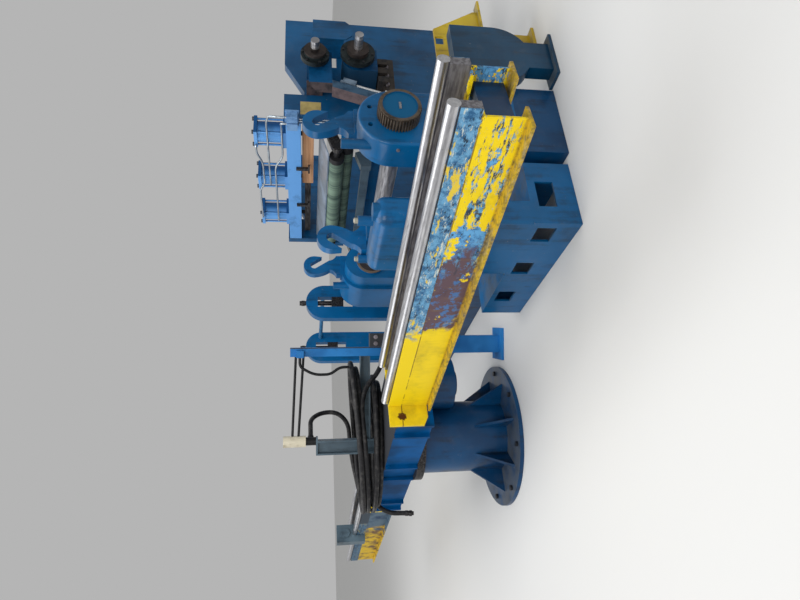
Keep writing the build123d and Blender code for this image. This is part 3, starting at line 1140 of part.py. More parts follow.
def make_yokes():
    """The two screw-down yokes of the entry guide, their screws and the bar between them."""
    yokes, screws = [], []
    for x in YOKE_PLACES:
        middle = x + YOKE_THICKNESS / 2
        yoke = round_topped(YOKE_Y, YOKE_HALF_WIDTH, BED_HEIGHT, YOKE_TOP, x, x + YOKE_THICKNESS)
        yoke -= block(x, x + YOKE_THICKNESS, YOKE_Y - YOKE_SLOT_HALF_WIDTH, YOKE_Y + YOKE_SLOT_HALF_WIDTH,
                      YOKE_SLOT_BOTTOM, YOKE_SLOT_TOP)
        yoke -= post(middle, YOKE_Y, YOKE_SLOT_TOP, YOKE_TOP, SCREW_RADIUS + RUNNING_GAP)
        yokes.append(yoke)
        chock_top = YOKE_CHOCK_BOTTOM + YOKE_CHOCK_HEIGHT
        screw = block(x, x + YOKE_THICKNESS, YOKE_Y - YOKE_SLOT_HALF_WIDTH, YOKE_Y + YOKE_SLOT_HALF_WIDTH,
                      YOKE_CHOCK_BOTTOM, chock_top)
        screw += post(middle, YOKE_Y, chock_top, SCREW_TOP, SCREW_RADIUS)
        screws.append(screw + post(middle, YOKE_Y, YOKE_TOP + SCREW_HEAD_GAP,
                                   SCREW_TOP - SCREW_HEAD_DROP, SCREW_HEAD_RADIUS))
    save("screw_yokes", *yokes)
    save("jack_screws", *screws)
    save("yoke_tie_bar", shaft(YOKE_PLACES[0] + YOKE_THICKNESS, YOKE_PLACES[1], YOKE_Y + TIE_BAR_OFFSET,
                               TIE_BAR_Z, TIE_BAR_RADIUS))


def main():
    os.makedirs("parts", exist_ok=True)
    make_pedestal()
    make_hub()
    make_slew_drive()
    make_arms()
    make_stop_block()
    make_hose_gear()
    make_lower_hose()
    make_upper_hose()
    make_front_bed()
    make_gearbox()
    make_rear_bed()
    make_housings()
    make_arbor()
    make_hooks()
    make_tension_stand()
    make_pad()
    make_table()
    make_rolls()
    make_guide_bar()
    make_spindles()
    make_side_gear()
    make_drive_guard()
    make_yellow_bracket()
    make_yokes()


main()
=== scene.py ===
"""Slitting line: finishes, hoses, small parts, light and camera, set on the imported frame.

Lengths and places are in metres, in the frame of the part, and colours are written as they show on a
screen.
"""
import math

import bpy
from mathutils import Matrix, Vector


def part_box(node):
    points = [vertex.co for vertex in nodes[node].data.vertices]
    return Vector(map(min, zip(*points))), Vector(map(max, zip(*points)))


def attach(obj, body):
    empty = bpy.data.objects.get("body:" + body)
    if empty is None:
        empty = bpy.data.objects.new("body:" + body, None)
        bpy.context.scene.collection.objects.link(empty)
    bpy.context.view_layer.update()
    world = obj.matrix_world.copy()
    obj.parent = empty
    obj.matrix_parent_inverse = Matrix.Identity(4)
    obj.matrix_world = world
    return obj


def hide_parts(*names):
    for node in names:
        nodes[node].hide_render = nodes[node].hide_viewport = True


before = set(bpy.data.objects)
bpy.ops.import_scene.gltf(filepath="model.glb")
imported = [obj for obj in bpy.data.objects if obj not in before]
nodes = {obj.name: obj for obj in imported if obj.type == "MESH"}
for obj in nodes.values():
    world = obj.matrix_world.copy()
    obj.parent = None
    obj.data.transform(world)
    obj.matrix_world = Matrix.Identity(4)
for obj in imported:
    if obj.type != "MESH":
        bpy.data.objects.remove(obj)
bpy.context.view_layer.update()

# The body that carries whatever doesn't move
ROOT = "fixed_line"

# The axes, as a box counts them
X, Y, Z = range(3)


def start_of(node, axis):
    """Where a solid starts along an axis."""
    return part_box(node)[0][axis]


def end_of(node, axis):
    """Where a solid ends along an axis."""
    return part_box(node)[1][axis]


def middle_of(node, axis):
    """The middle of a solid's box along an axis."""
    return (start_of(node, axis) + end_of(node, axis)) / 2


# Directions that the part is laid out along
ARM_ANGLE = math.radians(9.2)
BOOM_ANGLE = math.radians(64.3)
COIL_ANGLE = math.radians(62.8)
OUTLET_ANGLE = math.radians(129.6)
X_WAY = (1, 0, 0)
NEAR_WAY = (0, -1, 0)
UP = (0, 0, 1)
DOWN = (0, 0, -1)

# Places that come from the solids
ARBOR_Y = middle_of("arbor", Y)
ARBOR_Z = middle_of("arbor", Z)
CHANNEL_FOOT = start_of("front_arm_channels", Z)
CHANNEL_TOP = end_of("front_arm_channels", Z)
HUB_HEIGHT = end_of("turnstile_hub", Z)
GEAR_END = end_of("ring_gear", X)
LEFT_HOUSING_END = end_of("left_housing", X)
GEARBOX_TOP = end_of("front_gearbox", Z)
UNION_FOOT = start_of("rotary_union", Z)
SIDE_FRAME_FACE = end_of("right_side_frame", X)

# The bare spot on the front arm's flange
FLANGE_CHIP = (0.9363, -0.0917, 0.965)

# Where a finish gives way to the next, as the start and the end of a smooth step
ARM_WORN = (2.08, 2.16)
ARM_PRIMER = (2.95, 2.82)
ARM_FLAKES = (2.15, 2.75)
ARM_MARKS = (2.1, 2.6)
ARM_SCRATCHES = (1.9, 2.5)
ARM_LIP = (CHANNEL_FOOT + 0.030, CHANNEL_FOOT + 0.018)
ARM_SEAM_FOOT = (CHANNEL_TOP - 0.0075, CHANNEL_TOP - 0.005)
ARM_SEAM_TOP = (CHANNEL_TOP + 0.003, CHANNEL_TOP + 0.001)
FLANGE_CHIP_RIM = (0.075, 0.066)
REAR_ARM_YELLOW = (2.30, 2.42)
SEAT_OUTER_SIDE = (0.157, 0.1605)
SEAT_NEAR_HUB = (1.99, 1.93)
SEAT_REAR_SHADE = (-0.5, -0.6)
HUB_TOP = (HUB_HEIGHT - 0.005, HUB_HEIGHT - 0.0005)
ROLL_COVER_END = (1.058, 1.0605)
MAST_VALVE_REACH = (0.7315, 0.7325)
MAST_VALVE_FOOT = (0.799, 0.801)
MAST_VALVE_SIDE = (-0.0285, -0.0305)
GEAR_DISC_RIM = (0.1068, 0.1058)
GEAR_DISC_FACE = (GEAR_END - 0.018, GEAR_END - 0.012)
UNION_COLLAR = (UNION_FOOT + 0.0805, UNION_FOOT + 0.0795)
SPINDLE_NECK = (1.6895, 1.6905)
SPINDLE_FREE_END = (1.7245, 1.7255)
# Below this height the chocks' sides carry painted shade
CHOCK_SHADE_TOP = (1.372, 1.368)
MANIFOLD_TOP = (1.4, 1.3)
RAM_ROD_TOP = (1.224, 1.220)
HOUSING_DISC_RIM = (0.1268, 0.1258)
HOUSING_DISC_FACE = (LEFT_HOUSING_END - 0.0115, LEFT_HOUSING_END - 0.0105)
HOUSING_SEAL_RIM = (0.1085, 0.1075)
# The same, for how far a surface faces a direction
FACES_UP = (0.45, 0.95)
FACES_X = (0.5, 0.7)
# How far a surface faces the near side, for the cylinders' painted light and shade
LIT_SIDE_FACING = (0.05, -0.8)

# What the finishes share: gloss, coat, the height of paint grain and a stain's usual pattern
SPECULAR = 0.2
HUB_SPECULAR = 0.06
COAT_WEIGHT = 0.3
COAT_ROUGHNESS = 0.16
BUMP_STRENGTH = 0.35
ENAMEL_BUMP = 0.0006
FINE_BUMP = 0.0004
WORN_BUMP = 0.0008
STAIN_DETAIL = 6
STAIN_ROUGHNESS = 0.7
BLOTCHES = (0.4, 0.7)
PALE_BLOTCHES = (0.45, 0.75)
STAINS = (0.5, 0.75)
FADING = (0.35, 0.7)

# The hoses. A coil's turns lie in four columns, each a long and a short half-width and a height, and a
# turn shifts to the next column between two angles in degrees.
HOSE_DIAMETER = 0.038
HOSE_BEVEL_STEPS = 4
HOSE_SPLINE_ORDER = 3
HOSE_SPLINE_STEPS = 6
TURN_STEP = 20
LOWER_COIL = {
    "centre": (-0.098, -0.009), "bottom": 1.0003, "lean": 0.0, "first": 180, "last": 1220,
    "columns": ((0.549, 0.359, 0.0574), (0.503, 0.314, 0.0585),
                (0.501, 0.312, 0.0195), (0.547, 0.357, 0.0195)),
    "shifts": ((444, 480), (780, 806), (1108, 1142)),
}
UPPER_COIL = {
    "centre": (-0.070, 0.044), "bottom": 1.12879, "lean": math.atan(0.082856), "first": 155, "last": 1365,
    "columns": ((0.612, 0.352, 0.057), (0.566, 0.308, 0.0585),
                (0.564, 0.306, 0.0195), (0.610, 0.351, 0.0195)),
    "shifts": ((430, 466), (770, 796), (1096, 1132)),
}
# The way out of the union, as reach and height, and the way down to the valve, as reach, side and height
OUTLET_RUN = ((0.06, 1.555), (0.172, 1.555), (0.3043, 1.555), (0.398, 1.4613), (0.398, 1.3262))
VALVE_RUN = ((0.583, -0.081, 0.982), (0.733, -0.081, 0.982))
# The ways into and out of the coils, along a coil, across it and above its underside
UPPER_LEAD = ((0.0575, 0.290, 0.0985), (-0.09, 0.316, 0.098), (-0.245, 0.316, 0.092),
              (-0.385, 0.262, 0.077), (-0.48, 0.214, 0.063))
UPPER_END = ((0.40, -0.262, 0.0195),)
LOWER_TAIL = ((-0.468, 0.188, 0.0195), (-0.519, 0.118, 0.0195), (-0.5635, 0.056, -0.0247),
              (-0.589, 0.020, -0.1013), (-0.590, 0.014, -0.190), (-0.592, 0.012, -0.229))
HOSE_END_OVERLAP = 0.012

# Profiles of the round pieces, as pairs of distance and radius, and how many sides they have
HOSE_END_PROFILE = ((0, 0.0205), (0.003, 0.0225), (0.026, 0.0225), (0.028, 0.019), (0.034, 0.019),
                    (0.035, 0.0235), (0.056, 0.0235), (0.058, 0.016), (0.071, 0.016), (0.072, 0.009))
CAP_PROFILE = ((0, 0.017), (0.02, 0.017), (0.024, 0.011))
TUBE_PROFILE = ((0, 0.0055), (0.56, 0.0055))
PLUG_PROFILE = ((0, 0.016), (0.014, 0.016), (0.015, 0.009), (0.024, 0.009))
FITTING_PROFILE = ((0, 0.017), (0.012, 0.017), (0.013, 0.012), (0.03, 0.012))
HOSE_END_SIDES = 24
SMALL_SIDES = 12
TUBE_SIDES = 10
HEXAGON = 6

# The bolts and nuts: their places and circles, and the radius and height of each kind of head
FOOT_CIRCLE = 0.5
FOOT_BOLT_COUNT = 8
FOOT_FIRST_ANGLE = 22.5
FOOT_TOP = end_of("turnstile_foot", Z)
FOOT_HEAD = (0.021, 0.018)
HOUSING_BOLT = (2.048, start_of("right_housing", Y), 1.054)
HOUSING_HEAD = (0.011, 0.008)
CYLINDERS_X = (0, 0.532, 1.065)
CYLINDERS_Y = middle_of("pressure_cylinders", Y)
CYLINDERS_TOP = end_of("pressure_cylinders", Z)
CYLINDER_NUT_OFFSETS = (-0.068, 0.068)
CYLINDER_NUT = (0.016, 0.014)
SPINDLE_CIRCLES = (("upper", (1.669, 2.42, 1.528), 0.091), ("lower", (1.689, 2.44, 1.216), 0.108))
SPINDLE_BOLT_COUNT = 6
SPINDLE_FIRST_ANGLE = 20
SPINDLE_HEAD = (0.009, 0.008)

# The other small parts' places
ARBOR_KEY = ((GEAR_END - 0.012, ARBOR_Y - 0.026, ARBOR_Z - 0.007),
             (GEAR_END - 0.004, ARBOR_Y + 0.026, ARBOR_Z + 0.007))
BARE_TAG = ((SIDE_FRAME_FACE - 0.003, 2.12, 1.48), (SIDE_FRAME_FACE + 0.0005, 2.25, 1.635))
GEARBOX_CAPS = ((1.469, 0.7985, GEARBOX_TOP - 0.034), (1.895, 0.7985, GEARBOX_TOP))
DROP_TUBES = ((1.3235, 2.0845, 1.655), (1.345, 2.0845, 1.655))
MANIFOLD_PLUGS = ((1.53, 2.29, 0.985), (1.53, 2.38, 0.985), (1.53, 2.47, 0.985))
# The mast valve's fittings, as reach, side and height along the boom
VALVE_FITTINGS = ((0.772, -0.118, 1.050), (0.823, -0.118, 1.050),
                  (0.772, -0.118, 0.900), (0.823, -0.118, 0.900))

# The camera: its place, its heading across the floor and its drop, as rise over run
CAMERA_PLACE = (4.775, -1.199, 1.6)
CAMERA_HEADING = (-0.889, 0.457, 0)
CAMERA_DROP = 95 / 600
CAMERA_LENS, CAMERA_SENSOR, CAMERA_REACH = 27.0, 36.0, 60.0

# The studio: each lamp's place, aim, size and power
LAMPS = (
    ("overhead", (1.5, 0.5, 5.5), (0.5, 1.0, 0), (6, 5), 260),
    ("camera_side", (5.5, -3.5, 3.6), (0.5, 1.0, 0.8), (3, 3), 150),
    ("left_fill", (-4.5, -4.0, 3.5), (0, 0.8, 0.8), (4, 3), 80),
)
WORLD_GREY = (0.84, 0.84, 0.84, 1)
WORLD_STRENGTH = 0.55
FLOOR_COLOUR = (0.68, 0.68, 0.67, 1)
FLOOR_ROUGHNESS = 0.8
FLOOR_HALF_WIDTH = 30
FLOOR_DROP = 0.001


def srgb(red, green, blue):
    """A colour as it shows on a screen, 0 to 255, turned into linear light."""
    linear = [((level / 255 + 0.055) / 1.055) ** 2.4 if level > 10.3 else level / 255 / 12.92
              for level in (red, green, blue)]
    return (*linear, 1.0)


BLUE = srgb(0, 98, 156)
WORN_BLUE = srgb(0, 78, 124)
DEEP_BLUE = srgb(0, 44, 80)
LIGHT_BLUE = srgb(62, 126, 170)
GREY_BLUE = srgb(84, 106, 122)
YELLOW = srgb(236, 206, 20)
OLD_YELLOW = srgb(196, 160, 40)
PRIMER = srgb(92, 72, 80)
GRIME = srgb(20, 22, 24)
DUST = srgb(104, 104, 98)
BARE_STEEL = srgb(130, 132, 134)


class Finish:
    """One material and the few node recipes that the materials share."""

    def __init__(self, name):
        self.material = bpy.data.materials.new(name)
        self.material.use_nodes = True
        self.tree = self.material.node_tree
        self.shader = self.tree.nodes["Principled BSDF"]
        self.place = self.add("TexCoord").outputs["Object"]

    def add(self, kind):
        return self.tree.nodes.new("ShaderNode" + kind)

    def feed(self, socket, value):
        if isinstance(value, bpy.types.NodeSocket):
            self.tree.links.new(value, socket)
        else:
            socket.default_value = value

    def turned(self, angle, scale=(1, 1, 1)):
        """The place, turned about Z so that X runs along a part, and scaled."""
        node = self.add("Mapping")
        node.inputs["Rotation"].default_value = (0, 0, -angle)
        node.inputs["Scale"].default_value = scale
        self.feed(node.inputs["Vector"], self.place)
        return node.outputs["Vector"]

    def noise(self, scale, detail=4.0, rough=0.6, place=None):
        node = self.add("TexNoise")
        node.inputs["Scale"].default_value = scale
        node.inputs["Detail"].default_value = detail
        node.inputs["Roughness"].default_value = rough
        self.feed(node.inputs["Vector"], place or self.place)
        return node.outputs["Fac"]

    def axis(self, name, place=None):
        """How far along X, Y or Z a place lies."""
        node = self.add("SeparateXYZ")
        self.feed(node.inputs[0], place or self.place)
        return node.outputs[name]

    def facing(self, name):
        """How far the surface faces along X, Y or Z, minus one to one."""
        return self.axis(name, self.add("TexCoord").outputs["Normal"])

    def ramp(self, value, low, high):
        """0 below low, 1 above high and a smooth step between them. Low may be the larger one."""
        rises = low < high
        node = self.add("MapRange")
        node.interpolation_type = "SMOOTHSTEP"
        self.feed(node.inputs["Value"], value)
        node.inputs["From Min"].default_value = min(low, high)
        node.inputs["From Max"].default_value = max(low, high)
        node.inputs["To Min"].default_value = 0.0 if rises else 1.0
        node.inputs["To Max"].default_value = 1.0 if rises else 0.0
        return node.outputs["Result"]

    def reckon(self, kind, first, second=0.0):
        node = self.add("Math")
        node.operation = kind
        self.feed(node.inputs[0], first)
        self.feed(node.inputs[1], second)
        return node.outputs[0]

    def plus(self, first, second):
        return self.reckon("ADD", first, second)

    def minus(self, first, second):
        return self.reckon("SUBTRACT", first, second)

    def times(self, first, second):
        return self.reckon("MULTIPLY", first, second)

    def mix(self, share, under, over):
        """One colour laid over another by a share."""
        node = self.add("Mix")
        node.data_type = "RGBA"
        for index, value in ((0, share), (6, under), (7, over)):
            self.feed(node.inputs[index], value)
        return node.outputs[2]

    def patches(self, band, scale, detail=STAIN_DETAIL, rough=STAIN_ROUGHNESS, place=None):
        """Noise cut into patches: 0 below the band, 1 above it."""
        return self.ramp(self.noise(scale, detail, rough, place), *band)

    def mottled(self, under, over, band, scale, detail=STAIN_DETAIL, rough=STAIN_ROUGHNESS, place=None):
        """One colour with patches of another."""
        return self.mix(self.patches(band, scale, detail, rough, place), under, over)

    def stained(self, tone, colour, amount, band, scale, detail=STAIN_DETAIL, rough=STAIN_ROUGHNESS):
        """Patches of a colour that cover only a share of what lies under them."""
        return self.mix(self.times(self.patches(band, scale, detail, rough), amount), tone, colour)

    def off_centre(self, name, place):
        """The distance from the part's middle along X or Y, on either side."""
        return self.reckon("ABSOLUTE", self.axis(name, place))

    def from_arbor(self):
        """The distance from the arbor's axis."""
        y = self.minus(self.axis("Y"), ARBOR_Y)
        z = self.minus(self.axis("Z"), ARBOR_Z)
        return self.reckon("SQRT", self.plus(self.times(y, y), self.times(z, z)))

    def gloss(self):
        """A thin clear coat, as on machine enamel."""
        self.shader.inputs["Coat Weight"].default_value = COAT_WEIGHT
        self.shader.inputs["Coat Roughness"].default_value = COAT_ROUGHNESS

    def done(self, colour, roughness, metallic=0.0, bump=None, depth=ENAMEL_BUMP, specular=SPECULAR):
        self.feed(self.shader.inputs["Base Color"], colour)
        self.feed(self.shader.inputs["Roughness"], roughness)
        self.feed(self.shader.inputs["Metallic"], metallic)
        self.shader.inputs["Specular IOR Level"].default_value = specular
        if bump is not None:
            node = self.add("Bump")
            node.inputs["Distance"].default_value = depth
            node.inputs["Strength"].default_value = BUMP_STRENGTH
            self.feed(node.inputs["Height"], bump)
            self.feed(self.shader.inputs["Normal"], node.outputs["Normal"])
        return self.material


def paint(name, colour, shade, grime=0.5, chips=0.0, roughness=0.42, under=BARE_STEEL):
    """Gloss machine paint: uneven tone, oily streaks that run down, dust and chipped spots."""
    look = Finish(name)
    tone = look.mottled(colour, shade, (0.3, 0.75), 1.7, 3, 0.6)
    streaks = look.noise(5, 4, 0.6, look.turned(0.0, (3.5, 3.5, 0.35)))
    oily = look.ramp(look.plus(look.noise(4.3, 6, 0.7), streaks), 0.98, 1.28)
    tone = look.mix(look.times(oily, grime), tone, GRIME)
    tone = look.stained(tone, DUST, 0.1, STAINS, 9, 5, 0.65)
    settled = look.times(look.ramp(look.facing("Z"), *FACES_UP), look.patches((0.3, 0.6), 6, 5))
    tone = look.mix(look.times(settled, 0.5), tone, DUST)
    tone = look.stained(tone, under, chips, (0.66, 0.70), 22)
    rough = look.plus(look.times(look.noise(12), 0.22), roughness - 0.1)
    look.gloss()
    return look.done(tone, rough, bump=look.noise(60, 3))


def metal(name, colour, dark, roughness, stain, metallic=0.9, angle=0.0, along=0.12, brushed=True):
    """Bare steel with brush lines along X, turned by an angle, and oily stains."""
    look = Finish(name)
    lines = look.noise(90, 3, 0.6, look.turned(angle, (along, 1.0, 1.0)))
    tone = look.mix(look.ramp(lines, *FADING), dark, colour)
    tone = look.stained(tone, GRIME, stain, (0.5, 0.72), 7)
    rough = look.plus(look.times(lines, 0.18), roughness - 0.08)
    return look.done(tone, rough, metallic, bump=lines if brushed else None, depth=FINE_BUMP)


def flat(name, colour, roughness=0.5, metallic=0.0):
    """A plain finish with a little unevenness."""
    look = Finish(name)
    tone = look.stained(colour, GRIME, 0.4, (0.4, 0.75), 14, 5, 0.6)
    return look.done(tone, roughness, metallic)


def arm_yellow():
    """The arms: clean yellow inside, and further out chipped down to blue and brown primer."""
    look = Finish("arm_yellow")
    reach = look.off_centre("X", look.turned(ARM_ANGLE))
    height = look.axis("Z")
    fine = look.noise(26, 8, 0.7)
    patch = look.noise(7.5, 8, 0.62, look.turned(ARM_ANGLE, (0.55, 1, 1)))
    tone = look.mottled(YELLOW, srgb(214, 186, 30), (0.45, 0.7), 6, 5, 0.6)

    # Beyond a ragged edge the yellow is left only in islands
    worn = look.ramp(look.plus(reach, look.times(look.noise(6, 5, 0.6), 0.5)), *ARM_WORN)
    blue = look.mix(look.ramp(fine, 0.42, 0.6), srgb(96, 160, 208), srgb(40, 96, 150))
    primer = look.mottled(PRIMER, srgb(70, 108, 158), (0.52, 0.58), 17)
    under = look.mix(look.ramp(look.plus(reach, look.times(patch, 0.9)), *ARM_PRIMER), blue, primer)
    flakes = look.plus(patch, look.times(fine, 0.35))
    flakes = look.plus(flakes, look.times(look.ramp(reach, *ARM_FLAKES), 0.165))
    bare = look.minus(1.0, look.ramp(flakes, 0.772, 0.788))
    tone = look.mix(look.times(worn, bare), tone, under)

    # Scuffs along the arm
    marks = look.patches((0.535, 0.56), 17, 9, 0.8, look.turned(ARM_ANGLE, (0.3, 1, 1.5)))
    marked = look.mottled(srgb(44, 58, 76), srgb(92, 154, 196), (0.44, 0.56), 31)
    tone = look.mix(look.times(marks, look.ramp(reach, *ARM_MARKS)), tone, marked)
    scratches = look.patches((0.6, 0.64), 38, 8, 0.75, look.turned(ARM_ANGLE, (0.25, 1, 1.6)))
    tone = look.mix(look.times(scratches, look.ramp(reach, *ARM_SCRATCHES)), tone, srgb(40, 52, 66))

    # The grimy lip at the foot and the rusty seam near the top
    lip = look.mix(look.ramp(fine, 0.4, 0.65), OLD_YELLOW, srgb(96, 84, 54))
    tone = look.mix(look.times(look.ramp(height, *ARM_LIP), 0.85), tone, lip)
    seam = look.times(look.ramp(height, *ARM_SEAM_FOOT), look.ramp(height, *ARM_SEAM_TOP))
    seam = look.times(seam, look.patches((0.4, 0.5), 12))
    tone = look.mix(look.times(seam, 0.75), tone, srgb(96, 66, 26))
    runs = look.patches((0.55, 0.75), 30, 4, 0.6, look.turned(ARM_ANGLE, (1, 1, 0.12)))
    tone = look.mix(look.times(runs, 0.22), tone, srgb(150, 120, 20))
    tone = look.stained(tone, GRIME, 0.4, (0.55, 0.8), 3.1)

    # The bare spot on the front arm's flange
    gap = look.add("VectorMath")
    gap.operation = "DISTANCE"
    look.feed(gap.inputs[0], look.place)
    gap.inputs[1].default_value = FLANGE_CHIP
    ragged = look.plus(gap.outputs["Value"], look.times(look.noise(30, 6, 0.7), 0.09))
    tone = look.mix(look.ramp(ragged, *FLANGE_CHIP_RIM), tone, srgb(74, 40, 22))
    return look.done(tone, 0.42, bump=look.plus(fine, worn), depth=0.0012)


def rear_channels():
    """The rear arm's channels: dark grey-blue near the hub and old yellow further out."""
    look = Finish("rear_channels")
    reach = look.off_centre("X", look.turned(ARM_ANGLE))
    edge = look.plus(reach, look.times(look.noise(5, 6, 0.65), 0.9))
    inner = look.mottled(GREY_BLUE, DEEP_BLUE, BLOTCHES, 6)
    outer = look.mottled(srgb(212, 176, 36), srgb(110, 84, 58), (0.45, 0.62), 9, 7)
    tone = look.mix(look.ramp(edge, *REAR_ARM_YELLOW), inner, outer)
    return look.done(tone, 0.5, bump=look.noise(40), depth=WORN_BUMP)


def seat_bars():
    """The seat bars: worn blue paint on the outer sides, bare steel inside, yellow near the hub, and
    painted shade on the rear arm.
    """
    look = Finish("seat_bars")
    along = look.turned(ARM_ANGLE)
    reach = look.off_centre("X", along)
    outer = look.ramp(look.off_centre("Y", along), *SEAT_OUTER_SIDE)
    lines = look.noise(70, 4, 0.6, look.turned(ARM_ANGLE, (0.08, 1, 1)))
    steel = look.mix(look.ramp(lines, 0.3, 0.7), srgb(96, 94, 98), srgb(150, 148, 152))

    # The blue is scuffed along the bar, down to pale, dark and yellow spots
    fine = look.noise(24, 8, 0.72)
    drawn = look.turned(ARM_ANGLE, (0.35, 1, 1.3))
    pulled = look.turned(ARM_ANGLE, (0.3, 1.4, 1))
    blue = look.mix(look.ramp(fine, 0.4, 0.62), srgb(104, 158, 194), srgb(40, 88, 128))
    blue = look.mottled(blue, srgb(196, 202, 190), (0.55, 0.6), 34, 9, 0.8, drawn)
    blue = look.mottled(blue, srgb(34, 46, 60), (0.56, 0.6), 27, 9, 0.8, pulled)
    blue = look.mottled(blue, srgb(218, 190, 64), (0.565, 0.585), 11, 8, 0.7, drawn)
    tone = look.mix(outer, steel, blue)

    start = look.ramp(look.plus(reach, look.times(look.noise(8, 5), 0.4)), *SEAT_NEAR_HUB)
    # Painted shade: on the rear arm the bars are darkened, and dark blue-grey stands in for the yellow near
    # the hub
    rear = look.ramp(look.axis("X", along), *SEAT_REAR_SHADE)
    near_hub = look.mix(rear, YELLOW, srgb(46, 62, 76))
    tone = look.mix(look.times(start, outer), tone, near_hub)
    tone = look.mix(look.times(rear, 0.6), tone, srgb(50, 60, 70))
    metallic = look.times(look.minus(1.0, outer), 0.7)
    return look.done(tone, 0.46, metallic, bump=fine, depth=WORN_BUMP)


def hub_blue():
    """The hub: blue paint darkened all over as painted shade, with a grey, oily top."""
    look = Finish("hub_blue")
    streaks = look.noise(5, 4, 0.6, look.turned(0.0, (3, 3, 0.3)))
    # Painted shade: both blues are darker than the hub's paint, set to the tone of its shaded sides
    tone = look.mottled(srgb(0, 84, 146), srgb(0, 52, 92), FADING, 2.2, 3, 0.6)
    tone = look.mix(look.times(look.ramp(streaks, 0.5, 0.7), 0.35), tone, GRIME)
    tone = look.mix(look.ramp(look.axis("Z"), *HUB_TOP), tone, srgb(54, 56, 60))
    return look.done(tone, 0.45, bump=look.noise(50, 3), specular=HUB_SPECULAR)


def roll_cover():
    """Grey-green roll covers with worn bands round them and dark ends."""
    look = Finish("roll_cover")
    bands = look.noise(9, 3, 0.7, look.turned(0.0, (1, 0.001, 0.001)))
    rings = look.patches((0.62, 0.7), 31, 3, 0.6, look.turned(0.0, (1, 0.01, 0.01)))
    tone = look.mix(look.ramp(bands, 0.4, 0.62), srgb(112, 134, 118), srgb(70, 88, 80))
    tone = look.mix(rings, tone, srgb(70, 74, 74))
    tone = look.mix(look.ramp(look.axis("X"), *ROLL_COVER_END), tone, srgb(34, 34, 36))
    return look.done(tone, 0.5)


def pad_wood():
    """The pad board: brown wood with its grain along X."""
    look = Finish("pad_wood")
    grain = look.noise(16, 6, 0.6, look.turned(0.0, (0.12, 1, 2.2)))
    tone = look.mix(look.ramp(grain, *FADING), srgb(192, 148, 112), srgb(150, 108, 78))
    return look.done(tone, 0.75, bump=grain, depth=0.001)


def hose_rubber():
    """The hoses: black rubber with grey dust on it."""
    look = Finish("hose_rubber")
    tone = look.mottled(srgb(30, 30, 32), srgb(74, 72, 70), PALE_BLOTCHES, 20, 5)
    return look.done(tone, 0.5, bump=look.noise(90, 3), depth=WORN_BUMP)


def mast_paint():
    """The mast: blue, with the dark steel valve block at its foot."""
    look = Finish("mast_paint")
    along = look.turned(BOOM_ANGLE)
    valve = look.times(look.ramp(look.axis("X", along), *MAST_VALVE_REACH),
                       look.ramp(look.axis("Z"), *MAST_VALVE_FOOT))
    valve = look.times(valve, look.ramp(look.axis("Y", along), *MAST_VALVE_SIDE))
    tone = look.mottled(srgb(44, 128, 196), srgb(14, 88, 150), FADING, 2, 3, 0.6)
    tone = look.mix(valve, tone, srgb(52, 54, 58))
    tone = look.stained(tone, GRIME, 0.4, (0.55, 0.75), 6)
    return look.done(tone, 0.42, bump=look.noise(50, 3), depth=0.0005)


def gear_steel():
    """The ring gear: brown oily teeth round a blue painted disc."""
    look = Finish("gear_steel")
    disc = look.times(look.ramp(look.from_arbor(), *GEAR_DISC_RIM),
                      look.ramp(look.axis("X"), *GEAR_DISC_FACE))
    steel = look.mottled(srgb(104, 92, 80), srgb(56, 50, 44), BLOTCHES, 14)
    tone = look.mix(disc, steel, srgb(0, 84, 126))
    return look.done(tone, 0.45, look.minus(0.55, look.times(disc, 0.55)))


def cylinder_blue():
    """The cylinders and their beam: blue with painted light on the near side and painted shade round the
    back.
    """
    look = Finish("cylinder_blue")
    # Painted light and shade: faces turned to the near side get the lit blue, faces turned away the shaded
    # blue
    light = look.ramp(look.facing("Y"), *LIT_SIDE_FACING)
    tone = look.mix(light, srgb(16, 76, 130), srgb(96, 156, 218))
    tone = look.stained(tone, DEEP_BLUE, 0.45, STAINS, 6)
    return look.done(tone, 0.34, bump=look.noise(50, 3), depth=FINE_BUMP)


def union_body():
    """The rotary union: cream above and black at its collar."""
    look = Finish("union_body")
    cream = look.mottled(srgb(206, 198, 176), srgb(150, 140, 118), PALE_BLOTCHES, 9, 5)
    tone = look.mix(look.ramp(look.axis("Z"), *UNION_COLLAR), cream, srgb(28, 28, 30))
    return look.done(tone, 0.45)


def spindle_steel():
    """The spindles: greenish black flanges, brownish black necks and polished free ends."""
    look = Finish("spindle_steel")
    lines = look.noise(60, 3, 0.6, look.turned(0.0, (1, 0.05, 0.05)))
    neck = look.mottled(srgb(64, 57, 54), srgb(38, 36, 38), BLOTCHES, 16)
    flange = look.mottled(srgb(46, 54, 56), srgb(28, 32, 34), BLOTCHES, 16)
    bright = look.mix(look.ramp(lines, 0.35, 0.65), srgb(220, 220, 222), srgb(160, 160, 164))
    along = look.axis("X")
    free = look.ramp(along, *SPINDLE_FREE_END)
    tone = look.mix(look.ramp(along, *SPINDLE_NECK), flange, neck)
    tone = look.mix(free, tone, bright)
    return look.done(tone, 0.32, look.plus(look.times(free, 0.45), 0.5), bump=lines, depth=0.0003)


def chock_paint():
    """The spindle chocks: blue painted fronts, and sides bare above and dark blue painted shade below."""
    look = Finish("chock_paint")
    front = look.mottled(srgb(4, 74, 120), srgb(2, 44, 78), BLOTCHES, 7, 5)
    side = look.mottled(srgb(76, 66, 68), srgb(42, 40, 44), (0.4, 0.65), 12)
    # Painted shade: the lower chock's sides are dark blue, the shadow cast by the slant cylinder's clevis
    side = look.mix(look.ramp(look.axis("Z"), *CHOCK_SHADE_TOP), side, srgb(18, 52, 78))
    tone = look.mix(look.ramp(look.facing("X"), *FACES_X), side, front)
    return look.done(tone, 0.48, bump=look.noise(50, 3))


